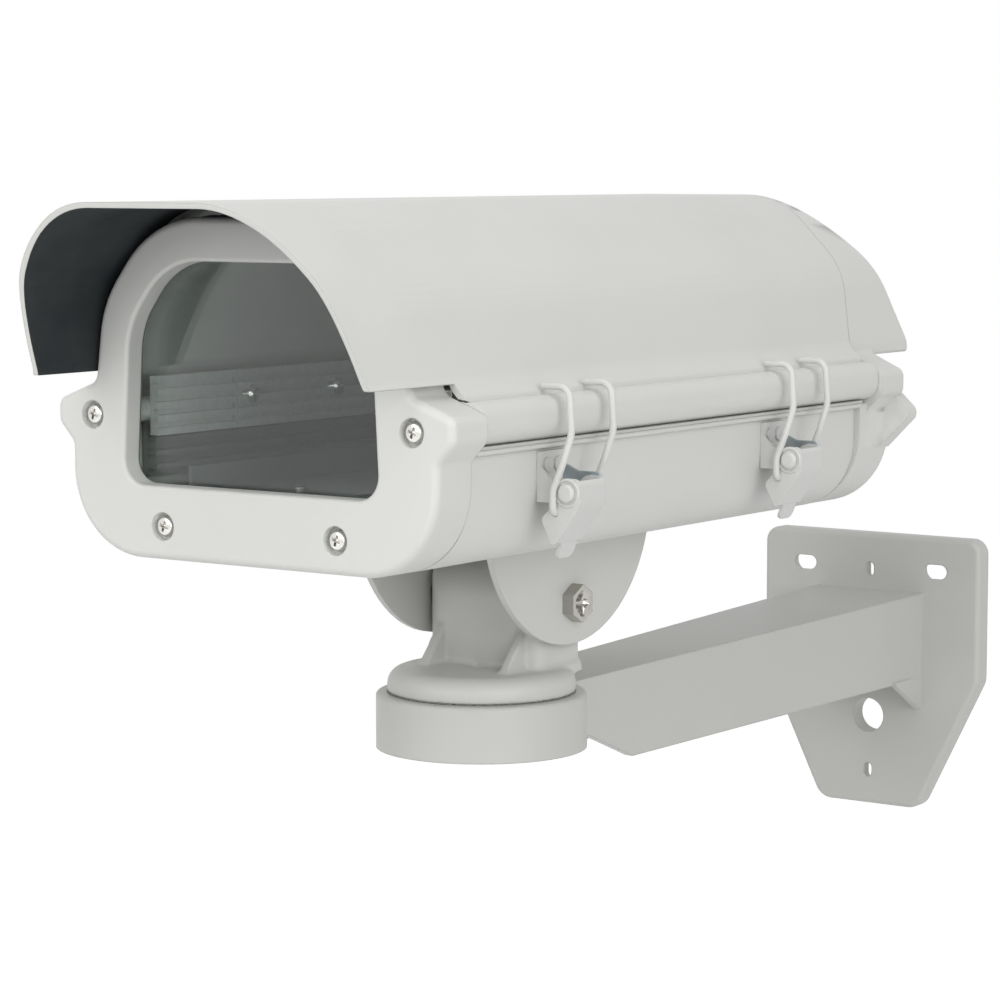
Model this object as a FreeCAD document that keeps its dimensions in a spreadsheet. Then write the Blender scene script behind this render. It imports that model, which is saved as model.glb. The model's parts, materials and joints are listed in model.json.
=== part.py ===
"""Security camera housing on a wall arm, in millimetres.

The origin is the centre of the wall plate's back face.  +Z is up, +Y points into the wall and the
window looks along -Y, so the housing lies at negative Y.  X = 0 is the plane of symmetry of the
arm and of the housing; the latches are on the +X side and the hinge is on the -X side.
"""
import FreeCAD, Part
import math
import os

import Sketcher

Vector = FreeCAD.Vector

doc = FreeCAD.newDocument("CameraHousing")
sheet = doc.addObject("Spreadsheet::Sheet", "Sizes")
parts = []


# Sizes

SIZES = [
    # Wall plate
    ("plate_width", 114.0), ("plate_top", 64.3), ("plate_bottom", -64.5), ("plate_thickness", 9.0),
    ("plate_shoulder", -2.0), ("plate_foot_width", 52.0), ("plate_corner", 7.0), ("plate_edge", 2.5),
    ("slot_spacing", 69.0), ("slot_level", 48.5), ("slot_length", 11.5), ("slot_width", 6.6),
    ("pilot_upper", 47.5), ("pilot_lower", -48.2), ("pilot_length", 6.4), ("pilot_width", 4.2),
    ("cable_hole", 16.0), ("cable_hole_level", -22.0),
    # Arm and cup
    ("arm_reach", 325.0), ("arm_root_width", 56.0), ("arm_tip_width", 34.0), ("arm_root_top", 38.0),
    ("arm_root_bottom", -2.0), ("arm_tip_top", 31.5), ("arm_tip_bottom", -4.5), ("arm_wall", 3.5),
    ("heel_start", 45.0), ("heel_end", 82.0), ("web_length", 27.0), ("web_drop", 15.0),
    ("cup_radius", 41.4), ("cup_top", 32.0), ("cup_bottom", 10.3), ("cup_wall", 3.5), ("cup_edge", 1.5),
    # Pan head
    ("disc_radius", 37.0), ("disc_height", 9.5), ("disc_edge", 3.0), ("pan_gap", 0.3),
    ("post_width", 54.0), ("post_depth", 32.0), ("post_round", 6.5), ("tilt_height", 35.5),
    ("tilt_offset", 16.0), ("web_spacing", 38.0), ("web_thickness", 4.0), ("web_reach", 14.0),
    ("web_height", 16.0), ("pan_bolt", 8.0), ("pan_bolt_head", 13.0), ("pan_bolt_head_height", 5.3),
    ("pan_bolt_reach", 13.4), ("washer_thickness", 1.6), ("washer_size", 17.0), ("fit", 0.06),
    ("friction_washer", 20.0),
    # Tilt bracket
    ("bracket_gauge", 2.5), ("bracket_length", 109.0), ("cheek_radius", 57.0), ("cheek_drop", 43.8),
    ("tilt_bolt", 8.0), ("tilt_bolt_head", 13.0), ("tilt_bolt_head_height", 5.3), ("tilt_nut_height", 6.5),
    ("tilt_gap", 2.2), ("bracket_screw_pitch", 70.0), ("bracket_screw_spacing", 36.0), ("bracket_screw", 5.0),
    # Housing section
    ("housing_floor", 95.0), ("shell_width", 162.0), ("shell_corner", 29.0), ("shell_wall", 2.5),
    ("lip_level", 139.3), ("lip_width", 169.0), ("lip_thickness", 1.8), ("tongue_height", 9.0),
    ("seal_thickness", 1.0), ("seam_gap", 0.1), ("bead_width", 177.0), ("bead_height", 15.6), ("bead_wall", 8.0),
    ("bead_lower_round", 7.0), ("bead_upper_round", 6.0), ("waist_width", 150.0), ("waist_level", 161.9),
    ("shoulder_width", 142.0), ("shoulder_level", 194.3), ("crown_width", 82.0), ("crown_level", 224.3),
    ("hood_wall", 2.0), ("crown_round", 40.0), ("shoulder_round", 30.0), ("waist_round", 8.0),
    # Housing lengths
    ("cover_face", 468.0), ("cover_depth", 20.0), ("gasket_thickness", 1.5), ("shell_length", 272.5),
    ("hood_brow", 55.0), ("hood_cheek", 27.6), ("upper_length", 279.5), ("bead_start_gap", 0.3),
    # Front cover
    ("cover_width", 166.0), ("cover_corner", 32.0), ("cover_top", 218.5), ("cover_crown_width", 88.0),
    ("cover_shoulder_width", 136.4), ("cover_shoulder_level", 187.0), ("cover_waist_width", 143.4),
    ("cover_waist_level", 158.5), ("ear_width", 180.0), ("ear_top", 151.5), ("ear_bottom", 143.0),
    ("ear_root", 135.5), ("cover_wall", 4.0), ("cover_edge", 3.0), ("window_width", 116.0),
    ("window_bottom", 121.8), ("window_top", 202.8), ("window_crown_width", 74.0),
    ("window_shoulder_width", 109.6), ("window_shoulder_level", 179.0), ("window_corner", 9.0),
    ("window_recess", 8.0), ("glass_thickness", 4.0), ("glass_margin", 6.0), ("glass_gap", 0.1),
    ("glass_gasket_thickness", 1.0), ("glass_gasket_width", 4.0), ("upper_screw_spacing", 144.8),
    ("upper_screw_level", 146.3), ("lower_screw_spacing", 78.6), ("lower_screw_level", 107.2),
    ("screw_size", 4.0), ("screw_head", 7.8), ("screw_head_height", 3.0), ("screw_length", 30.0),
    ("counterbore", 10.3), ("counterbore_depth", 3.4), ("boss_size", 12.6), ("port_size", 8.6), ("port_bore", 3.3),
    ("hood_seal_thickness", 0.6), ("hood_seal_width", 6.0), ("clip_post", 7.0), ("clip_screw", 3.0),
    ("clip_screw_length", 7.0), ("clip_offset", 9.1), ("rear_screw_length", 38.0),
    # Rear cover
    ("rear_step", 7.5), ("rear_back", 148.0), ("rear_tail", 117.0), ("tail_level", 157.5),
    ("rear_wall", 4.0), ("lobe_width", 192.0), ("lobe_level", 134.0), ("gland_spacing", 60.0), ("gland_level", 126.0),
    ("gland_size", 16.0), ("gland_nut", 22.0), ("gland_bore", 7.0),
    # Latches
    ("latch_first", 61.0), ("latch_pitch", 156.0), ("lever_width", 16.2), ("lever_gauge", 1.2),
    ("pivot_out", 95.0), ("pivot_level", 122.0), ("pivot_size", 3.0), ("pivot_head", 6.8), ("pivot_head_height", 1.6),
    ("eye_out", 90.0), ("eye_level", 114.8), ("wire_size", 2.6), ("ear_gauge", 1.2), ("latch_gap", 0.2),
    # Hinge
    ("hinge_out", 93.5), ("hinge_level", 139.4), ("knuckle_size", 9.0), ("rod_size", 4.0),
    ("knuckle_length", 14.0), ("knuckle_gap", 0.3), ("hinge_inset", 34.0),
    # Inside
    ("rail_level", 120.6), ("rail_height", 20.0), ("rail_depth", 7.0), ("rail_length", 236.0),
    ("tray_width", 122.0), ("tray_length", 224.0), ("tray_gauge", 2.0), ("tray_level", 113.0), ("tray_side", 12.0),
    ("tray_start", 20.0), ("tray_post", 8.0), ("tray_post_spacing", 56.0), ("tray_post_inset", 26.0),
    ("tray_screw", 3.0), ("tray_screw_length", 8.0), ("tray_slot", 7.0), ("tray_slot_length", 100.0),
]


def fill_sheet():
    """One row per size: the name, the plain number and the alias."""
    for row, (name, number) in enumerate(SIZES, start=1):
        sheet.set("A%d" % row, name)
        sheet.set("B%d" % row, repr(number))
        sheet.setAlias("B%d" % row, name)
    doc.recompute()


fill_sheet()


def size(name):
    return float(sheet.get(name))


def half(name):
    return size(name) / 2


# Outlines

def signed_turn(before, here, after):
    return (here[0] - before[0]) * (after[1] - here[1]) - (here[1] - before[1]) * (after[0] - here[0])


def offset_chain(points, distance):
    """Inner corners of an open chain, moved to the right of its direction by a distance."""
    moved = []
    for before, here, after in zip(points, points[1:], points[2:]):
        lines = []
        for start, end in ((before, here), (here, after)):
            run = math.hypot(end[0] - start[0], end[1] - start[1])
            nx, ny = (end[1] - start[1]) / run, -(end[0] - start[0]) / run
            lines.append((nx, ny, nx * (start[0] + nx * distance) + ny * (start[1] + ny * distance)))
        (a1, b1, c1), (a2, b2, c2) = lines
        det = a1 * b2 - a2 * b1
        x, y = (c1 * b2 - c2 * b1) / det, (a1 * c2 - a2 * c1) / det
        turn = signed_turn(before, here, after)
        radius = here[2] + (distance if turn > 0 else -distance)
        moved.append((x, y, max(radius, 0.0) if here[2] else 0.0))
    return moved


def mirrored(points):
    return [(-x, y, radius) for x, y, radius in reversed(points)]


def closed(half_outline):
    """Closed outline from its +X half."""
    return half_outline + mirrored(half_outline)


def channel(outer, inner):
    """Closed outline of an open channel from the +X halves of its two skins."""
    return outer + mirrored(outer) + [(-x, y, radius) for x, y, radius in inner] + list(reversed(inner))


def sketch_arc(start, middle, end):
    """Arc through three points, drawn anticlockwise as a sketch keeps it."""
    if (middle - start).cross(end - start).z < 0:
        start, end = end, start
    return Part.Arc(start, middle, end)


def rounded(points):
    """Lines and arcs of a closed outline whose corners are (x, y, radius)."""
    corners = []
    for index, (x, y, radius) in enumerate(points):
        here = Vector(x, y, 0)
        following = points[(index + 1) % len(points)]
        back = (Vector(points[index - 1][0], points[index - 1][1], 0) - here).normalize()
        ahead = (Vector(following[0], following[1], 0) - here).normalize()
        if radius <= 0:
            corners.append((here, None, here))
            continue
        angle = back.getAngle(ahead) / 2
        reach = radius / math.tan(angle)
        middle = here + (back + ahead).normalize() * (radius / math.sin(angle) - radius)
        corners.append((here + back * reach, middle, here + ahead * reach))
    edges = []
    for index, (start, middle, end) in enumerate(corners):
        if middle is not None:
            edges.append(sketch_arc(start, middle, end))
        following = corners[(index + 1) % len(corners)][0]
        if (following - end).Length > 1e-5:
            edges.append(Part.LineSegment(end, following))
    return edges


def box_outline(x0, x1, y0, y1, radius=0.0):
    return [(x0, y0, radius), (x1, y0, radius), (x1, y1, radius), (x0, y1, radius)]


# Bodies and features

def new_body(label):
    body = doc.addObject("PartDesign::Body", label)
    body.Label = label
    parts.append(body)
    return body


def plane(body, role):
    return [item for item in body.Origin.OriginFeatures if item.Role == role][0]


def new_sketch(body, name, role, offset="0"):
    """Sketch on one of the body's own planes: "XY", "XZ" (drawn in X and Z) or "YZ"."""
    sketch = body.newObject("Sketcher::SketchObject", name)
    sketch.AttachmentSupport = [(plane(body, role + "_Plane"), "")]
    sketch.MapMode = "FlatFace"
    sketch.setExpression(".AttachmentOffset.Base.z", offset)
    return sketch


def tie_ends(sketch, first):
    """Coincident constraints between neighbouring ends of the edges added last."""
    ends = []
    for index in range(first, len(sketch.Geometry)):
        edge = sketch.Geometry[index]
        ends.append((edge.StartPoint, index, 1))
        ends.append((edge.EndPoint, index, 2))
    while ends:
        point, index, side = ends.pop()
        for other in ends:
            if other[1] != index and (other[0] - point).Length < 1e-4:
                sketch.addConstraint(Sketcher.Constraint("Coincident", index, side, other[1], other[2]))
                ends.remove(other)
                break


def draw(sketch, points):
    first = len(sketch.Geometry)
    sketch.addGeometry(rounded(points), False)
    tie_ends(sketch, first)


def draw_circle(sketch, x, y, radius_expression):
    """Circle whose centre is fixed and whose radius follows the sheet."""
    index = sketch.addGeometry(Part.Circle(Vector(x, y, 0), Vector(0, 0, 1), 1.0), False)
    sketch.addConstraint(Sketcher.Constraint("DistanceX", -1, 1, index, 3, x))
    sketch.addConstraint(Sketcher.Constraint("DistanceY", -1, 1, index, 3, y))
    radius = sketch.addConstraint(Sketcher.Constraint("Radius", index, 1.0))
    sketch.setExpression("Constraints[%d]" % radius, radius_expression)


def pad(body, sketch, name, length, backwards=False):
    feature = body.newObject("PartDesign::Pad", name)
    feature.Profile = (sketch, [""])
    feature.setExpression("Length", length)
    feature.Reversed = backwards
    body.Tip = feature
    return feature


def pocket(body, sketch, name, length=None, backwards=False):
    """Cut to a length, or right through both ways where no length is given."""
    feature = body.newObject("PartDesign::Pocket", name)
    feature.Profile = (sketch, [""])
    if length is None:
        feature.Type = "ThroughAll"
        feature.SideType = "Symmetric"
    else:
        feature.setExpression("Length", length)
    feature.Reversed = backwards
    body.Tip = feature
    return feature


def loft(body, first, last, name, cut=False):
    kind = "PartDesign::SubtractiveLoft" if cut else "PartDesign::AdditiveLoft"
    feature = body.newObject(kind, name)
    feature.Profile = (first, [""])
    feature.Sections = [(last, [""])]
    feature.Ruled = True
    body.Tip = feature
    return feature


def revolve(body, sketch, name, axis="V_Axis"):
    feature = body.newObject("PartDesign::Revolution", name)
    feature.Profile = (sketch, [""])
    feature.ReferenceAxis = (sketch, [axis])
    feature.Angle = 360
    body.Tip = feature
    return feature


def dress(body, name, kind, amount, chosen):
    """Fillet or chamfer on the edges of the last feature that a test picks."""
    doc.recompute()
    base = body.Tip
    names = []
    for index, edge in enumerate(base.Shape.Edges, start=1):
        if chosen(edge):
            names.append("Edge%d" % index)
    feature = body.newObject("PartDesign::" + kind, name)
    feature.Base = (base, names)
    feature.setExpression("Radius" if kind == "Fillet" else "Size", amount)
    body.Tip = feature
    return feature


def on_level(edge, axis, level):
    """True where the whole edge lies at one level of an axis (0 X, 1 Y, 2 Z)."""
    box = edge.BoundBox
    low, high = ((box.XMin, box.XMax), (box.YMin, box.YMax), (box.ZMin, box.ZMax))[axis]
    return abs(low - level) < 0.01 and abs(high - level) < 0.01


def keep(shape, label):
    """A piece whose form has no sketch: its own functions make the shape."""
    feature = doc.addObject("Part::Feature", label)
    feature.Label = label
    feature.Shape = shape
    feature.Placement = FreeCAD.Placement(Vector(0, 0, 0), FreeCAD.Rotation())
    parts.append(feature)
    return feature


def rod(radius, length, start, direction):
    return Part.makeCylinder(radius, length, Vector(*start), Vector(*direction))


def hexagon(across_flats, height, start, direction):
    """Hexagonal prism from a start point along a direction."""
    radius = across_flats / math.sqrt(3)
    ring = [Vector(radius * math.cos(math.radians(60 * i)), radius * math.sin(math.radians(60 * i)), 0)
            for i in range(7)]
    prism = Part.Face(Part.makePolygon(ring)).extrude(Vector(0, 0, height))
    prism.Placement = FreeCAD.Placement(Vector(*start), FreeCAD.Rotation(Vector(0, 0, 1), Vector(*direction)))
    return prism


# Levels used by several pieces

FACE = -size("cover_face")
COVER_BACK = FACE + size("cover_depth")
SHELL_FRONT = COVER_BACK + size("gasket_thickness")
SHELL_BACK = SHELL_FRONT + size("shell_length")
REAR_FRONT = SHELL_BACK + size("gasket_thickness")
UPPER_BACK = SHELL_FRONT + size("upper_length")
PAN_Y = -size("arm_reach")
TILT_Y = PAN_Y + size("tilt_offset")
TILT_Z = size("cup_top") + size("tilt_height")
DISC_BOTTOM = size("cup_top") + size("pan_gap")
DISC_TOP = DISC_BOTTOM + size("disc_height")
BRACKET_TOP = size("housing_floor")


# Wall arm

def plate_outline():
    wide, foot = half("plate_width"), half("plate_foot_width")
    corner = size("plate_corner")
    right = [(wide, size("plate_top"), corner), (wide, size("plate_shoulder"), 10.0),
             (foot, size("plate_bottom"), 9.0)]
    return closed(right)


def slot_outline(x, z, length, width, upright=False):
    across, along = (width / 2, length / 2) if upright else (length / 2, width / 2)
    return box_outline(x - across, x + across, z - along, z + along, width / 2 - 0.001)


def wall_arm():
    body = new_body("wall_arm")
    base = new_sketch(body, "PlateOutline", "XZ")
    draw(base, plate_outline())
    pad(body, base, "Plate", "Sizes.plate_thickness")
    dress(body, "PlateEdge", "Fillet", "Sizes.plate_edge", lambda edge: on_level(edge, 1, -size("plate_thickness")))
    cup = new_sketch(body, "CupOutline", "XY", "Sizes.cup_bottom")
    draw_circle(cup, 0, PAN_Y, "Sizes.cup_radius")
    pad(body, cup, "Cup", "Sizes.cup_top - Sizes.cup_bottom")
    dress(body, "CupEdge", "Fillet", "Sizes.cup_edge", lambda edge: on_level(edge, 2, size("cup_top"))
          and edge.BoundBox.XLength > size("cup_radius"))
    root = new_sketch(body, "ArmRoot", "XZ", "Sizes.plate_thickness")
    draw(root, box_outline(-half("arm_root_width"), half("arm_root_width"), size("arm_root_bottom"),
                           size("arm_root_top")))
    tip = new_sketch(body, "ArmTip", "XZ", "Sizes.arm_reach")
    draw(tip, box_outline(-half("arm_tip_width"), half("arm_tip_width"), size("arm_tip_bottom"),
                          size("arm_tip_top")))
    loft(body, root, tip, "Arm")
    heel = new_sketch(body, "HeelCut", "YZ")
    low = size("arm_tip_bottom") - 5
    draw(heel, [(PAN_Y - half("cup_radius") * 2 - 1, size("cup_bottom"), 0),
                (PAN_Y + size("heel_start"), size("cup_bottom"), 0),
                (PAN_Y + size("heel_end"), size("arm_tip_bottom") - 0.6, 0),
                (PAN_Y + size("heel_end"), low, 0), (PAN_Y - half("cup_radius") * 2 - 1, low, 0)])
    pocket(body, heel, "Heel")
    wall = size("arm_wall")
    for side in (-1, 1):
        outer = side * half("arm_root_width")
        inner = outer - side * wall
        web = new_sketch(body, "RootWeb%s" % ("Left" if side < 0 else "Right"), "YZ", "%r" % min(outer, inner))
        draw(web, [(-size("plate_thickness") - size("web_length"), size("arm_root_bottom") + 1, 0),
                   (-size("plate_thickness") + 1, size("arm_root_bottom") + 1, 0),
                   (-size("plate_thickness") + 1, size("arm_root_bottom") - size("web_drop"), 0),
                   (-size("plate_thickness"), size("arm_root_bottom") - size("web_drop"), 0)])
        pad(body, web, "Root%s" % ("Left" if side < 0 else "Right"), "Sizes.arm_wall")
    hollow = new_sketch(body, "CupHollow", "XY", "Sizes.cup_bottom")
    draw_circle(hollow, 0, PAN_Y, "Sizes.cup_radius - Sizes.cup_wall")
    pocket(body, hollow, "CupInside", "Sizes.cup_top - Sizes.cup_bottom - Sizes.cup_wall", True)
    inner_root = new_sketch(body, "ChannelRoot", "XZ", "Sizes.plate_thickness")
    draw(inner_root, box_outline(-half("arm_root_width") + wall, half("arm_root_width") - wall, -30.0,
                                 size("arm_root_top") - wall))
    inner_tip = new_sketch(body, "ChannelTip", "XZ", "Sizes.arm_reach")
    draw(inner_tip, box_outline(-half("arm_tip_width") + wall, half("arm_tip_width") - wall, -30.0,
                                size("arm_tip_top") - wall))
    loft(body, inner_root, inner_tip, "Channel", True)
    slots = new_sketch(body, "WallHoles", "XZ")
    for side in (-1, 1):
        draw(slots, slot_outline(side * half("slot_spacing"), size("slot_level"), size("slot_length"),
                                 size("slot_width")))
    for level in ("pilot_upper", "pilot_lower"):
        draw(slots, slot_outline(0, size(level), size("pilot_length"), size("pilot_width"), True))
    draw_circle(slots, 0, size("cable_hole_level"), "Sizes.cable_hole / 2")
    pocket(body, slots, "Holes")
    bolt = new_sketch(body, "BoltHole", "XY", "Sizes.cup_bottom")
    draw_circle(bolt, 0, PAN_Y, "Sizes.pan_bolt / 2 + Sizes.fit")
    pocket(body, bolt, "Bolt")
    return body


# Pan head

def pan_head():
    body = new_body("pan_head")
    disc = new_sketch(body, "DiscOutline", "XY", "Sizes.cup_top + Sizes.pan_gap")
    draw_circle(disc, 0, PAN_Y, "Sizes.disc_radius")
    pad(body, disc, "Disc", "Sizes.disc_height")
    dress(body, "DiscEdge", "Fillet", "Sizes.disc_edge", lambda edge: on_level(edge, 2, DISC_TOP))
    post = new_sketch(body, "PostOutline", "XY", "Sizes.cup_top + Sizes.pan_gap")
    draw(post, box_outline(-half("post_width"), half("post_width"), TILT_Y - half("post_depth"),
                           TILT_Y + half("post_depth"), size("post_round")))
    pad(body, post, "Post", "Sizes.tilt_height - Sizes.pan_gap + Sizes.post_depth / 2")
    crown = new_sketch(body, "CrownCut", "YZ")
    depth = half("post_depth")
    arc = sketch_arc(Vector(TILT_Y - depth, TILT_Z, 0), Vector(TILT_Y, TILT_Z + depth, 0),
                     Vector(TILT_Y + depth, TILT_Z, 0))
    high = TILT_Z + depth + 2
    crown.addGeometry([arc, Part.LineSegment(Vector(TILT_Y + depth, TILT_Z, 0), Vector(TILT_Y + depth + 2, TILT_Z, 0)),
                       Part.LineSegment(Vector(TILT_Y + depth + 2, TILT_Z, 0), Vector(TILT_Y + depth + 2, high, 0)),
                       Part.LineSegment(Vector(TILT_Y + depth + 2, high, 0), Vector(TILT_Y - depth - 2, high, 0)),
                       Part.LineSegment(Vector(TILT_Y - depth - 2, high, 0), Vector(TILT_Y - depth - 2, TILT_Z, 0)),
                       Part.LineSegment(Vector(TILT_Y - depth - 2, TILT_Z, 0), Vector(TILT_Y - depth, TILT_Z, 0))],
                      False)
    tie_ends(crown, 0)
    pocket(body, crown, "Crown")
    for side in (-1, 1):
        name = "Left" if side < 0 else "Right"
        centre = side * half("web_spacing")
        web = new_sketch(body, "Web" + name, "YZ", "%r" % (centre - half("web_thickness")))
        foot = TILT_Y - half("post_depth")
        draw(web, [(foot - size("web_reach"), DISC_TOP - 0.5, 0), (foot + 1, DISC_TOP - 0.5, 0),
                   (foot + 1, DISC_TOP + size("web_height"), 0), (foot, DISC_TOP + size("web_height"), 0)])
        pad(body, web, "Gusset" + name, "Sizes.web_thickness")
    tilt = new_sketch(body, "TiltHole", "YZ")
    draw_circle(tilt, TILT_Y, TILT_Z, "Sizes.tilt_bolt / 2 + Sizes.fit")
    pocket(body, tilt, "Tilt")
    thread = new_sketch(body, "BoltHole", "XY", "Sizes.cup_top + Sizes.pan_gap")
    draw_circle(thread, 0, PAN_Y, "Sizes.pan_bolt / 2 + Sizes.fit")
    pocket(body, thread, "Thread", "Sizes.pan_bolt_reach - Sizes.washer_thickness - Sizes.cup_wall - Sizes.pan_gap + 0.5", True)
    return body


def pan_bolt():
    seat = size("cup_top") - size("cup_wall")
    under = seat - size("washer_thickness") - size("fit")
    head = hexagon(size("pan_bolt_head"), size("pan_bolt_head_height"),
                   (0, PAN_Y, under - size("pan_bolt_head_height")), (0, 0, 1))
    shank = rod(half("pan_bolt"), size("pan_bolt_reach"), (0, PAN_Y, under - 0.01), (0, 0, 1))
    keep(head.fuse(shank).removeSplitter(), "pan_bolt")
    ring = rod(half("washer_size"), size("washer_thickness") - size("fit"), (0, PAN_Y, under + size("fit") / 2), (0, 0, 1))
    hole = rod(half("pan_bolt") + size("fit"), size("washer_thickness"), (0, PAN_Y, under), (0, 0, 1))
    keep(ring.cut(hole), "pan_washer")


# Tilt bracket

def tilt_bracket():
    body = new_body("tilt_bracket")
    gauge = size("bracket_gauge")
    wide = half("post_width") + size("tilt_gap") + gauge
    long = half("bracket_length")
    side = new_sketch(body, "CheekOutline", "YZ", "%r" % -wide)
    radius = size("cheek_radius")
    lowest = BRACKET_TOP - size("cheek_drop")
    centre = lowest + radius
    rise = centre - (BRACKET_TOP - gauge)
    reach = math.sqrt(radius ** 2 - rise ** 2)
    left, right = TILT_Y - reach, TILT_Y + reach
    side.addGeometry([sketch_arc(Vector(left, BRACKET_TOP - gauge, 0), Vector(TILT_Y, lowest, 0),
                               Vector(right, BRACKET_TOP - gauge, 0)),
                      Part.LineSegment(Vector(right, BRACKET_TOP - gauge, 0), Vector(right, BRACKET_TOP, 0)),
                      Part.LineSegment(Vector(right, BRACKET_TOP, 0), Vector(left, BRACKET_TOP, 0)),
                      Part.LineSegment(Vector(left, BRACKET_TOP, 0), Vector(left, BRACKET_TOP - gauge, 0))], False)
    tie_ends(side, 0)
    pad(body, side, "Cheeks", "Sizes.post_width + 2 * Sizes.tilt_gap + 2 * Sizes.bracket_gauge")
    bend = new_sketch(body, "Inside", "XZ", "%r" % -(left - 1))
    draw(bend, [(-wide + gauge, lowest - 1, 0), (wide - gauge, lowest - 1, 0), (wide - gauge, BRACKET_TOP - gauge, 2.0),
                (-wide + gauge, BRACKET_TOP - gauge, 2.0)])
    pocket(body, bend, "Bend")
    hole = new_sketch(body, "BoltHoles", "YZ")
    draw_circle(hole, TILT_Y, TILT_Z, "Sizes.tilt_bolt / 2 + Sizes.fit")
    pocket(body, hole, "Holes")
    fixings = new_sketch(body, "FixingHoles", "XY", "Sizes.housing_floor")
    for x, y in bracket_screw_places():
        draw_circle(fixings, x, y, "Sizes.bracket_screw / 2 + Sizes.fit")
    pocket(body, fixings, "Fixings", "Sizes.bracket_gauge + 1")
    return body


def bracket_screw_places():
    return [(sx * half("bracket_screw_spacing"), TILT_Y + sy * half("bracket_screw_pitch"))
            for sx in (-1, 1) for sy in (-1, 1)]


def bracket_screws():
    """Pan-head screws put in from inside the housing, with nuts under the bracket."""
    solids = []
    nuts = []
    top = BRACKET_TOP + size("shell_wall")
    for x, y in bracket_screw_places():
        length = size("shell_wall") + size("bracket_gauge") + 5.0
        shank = rod(half("bracket_screw"), length + 0.5, (x, y, top - length), (0, 0, 1))
        head = rod(4.75, 3.0, (x, y, top + 0.02), (0, 0, 1))
        solids.append(shank.fuse(head).removeSplitter())
        nut = hexagon(8.0, 4.0, (x, y, BRACKET_TOP - size("bracket_gauge") - 4.0 - 0.02), (0, 0, 1))
        nuts.append(nut.cut(rod(half("bracket_screw") + size("fit"), 9.0, (x, y, BRACKET_TOP - 9.0), (0, 0, 1))))
    keep(Part.makeCompound(solids), "bracket_screws")
    keep(Part.makeCompound(nuts), "bracket_nuts")


def tilt_fasteners():
    """Hexagon bolt with its head on the latch-side cheek, and a washer and nut on the other."""
    wide = half("post_width") + size("tilt_gap") + size("bracket_gauge")
    far = wide + size("washer_thickness")
    head_seat, nut_seat = wide + 0.02, -far - 0.02
    shank = rod(half("tilt_bolt"), head_seat - nut_seat + size("tilt_nut_height") + 3.0,
                (head_seat, TILT_Y, TILT_Z), (-1, 0, 0))
    head = hexagon(size("tilt_bolt_head"), size("tilt_bolt_head_height"), (head_seat, TILT_Y, TILT_Z), (1, 0, 0))
    keep(head.fuse(shank).removeSplitter(), "tilt_bolt")
    bore = rod(half("tilt_bolt") + size("fit"), 4 * far, (2 * far, TILT_Y, TILT_Z), (-1, 0, 0))
    nut = hexagon(size("tilt_bolt_head"), size("tilt_nut_height"), (nut_seat, TILT_Y, TILT_Z), (-1, 0, 0))
    keep(nut.cut(bore), "tilt_nut")
    thick = size("washer_thickness") - 0.02
    washer = rod(half("washer_size"), thick, (-wide - 0.01, TILT_Y, TILT_Z), (-1, 0, 0))
    keep(washer.cut(bore), "tilt_nut_washer")
    rings = []
    gap = size("tilt_gap") - 2 * size("fit")
    for side in (-1, 1):
        start = (side * (half("post_width") + size("fit")), TILT_Y, TILT_Z)
        rings.append(rod(half("friction_washer"), gap, start, (side, 0, 0)).cut(bore))
    keep(Part.makeCompound(rings), "tilt_friction_washers")


# Housing section

def upper_half():
    """+X half of the upper shell's outer skin, from the split line to the crown."""
    bead = seam_top()
    inner = half("bead_width") - size("bead_wall")
    high = bead + size("bead_height")
    return [(inner, bead, 0), (half("bead_width"), bead, size("bead_lower_round")),
            (half("bead_width"), high, size("bead_upper_round")), (half("bead_width") - 6.2, high, 0),
            (half("waist_width"), size("waist_level"), size("waist_round")),
            (half("shoulder_width"), size("shoulder_level"), size("shoulder_round")),
            (half("crown_width"), size("crown_level"), size("crown_round"))]


def seam_top():
    return size("lip_level") + size("seal_thickness") + 2 * size("seam_gap")


def upper_inner(distance):
    """Inner skin of the upper shell above the bead, a distance inside the outer one."""
    outer = upper_half()
    chain = outer[3:] + [(-half("crown_width"), size("crown_level"), size("crown_round"))]
    inner = offset_chain(list(reversed(chain)), distance)
    return list(reversed(inner))


def lower_half(inset=0.0):
    """+X half of the lower shell's outer skin below the lip."""
    return [(half("shell_width") - inset, size("lip_level"), 0),
            (half("shell_width") - inset, size("housing_floor") + inset, size("shell_corner") - inset)]


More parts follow.
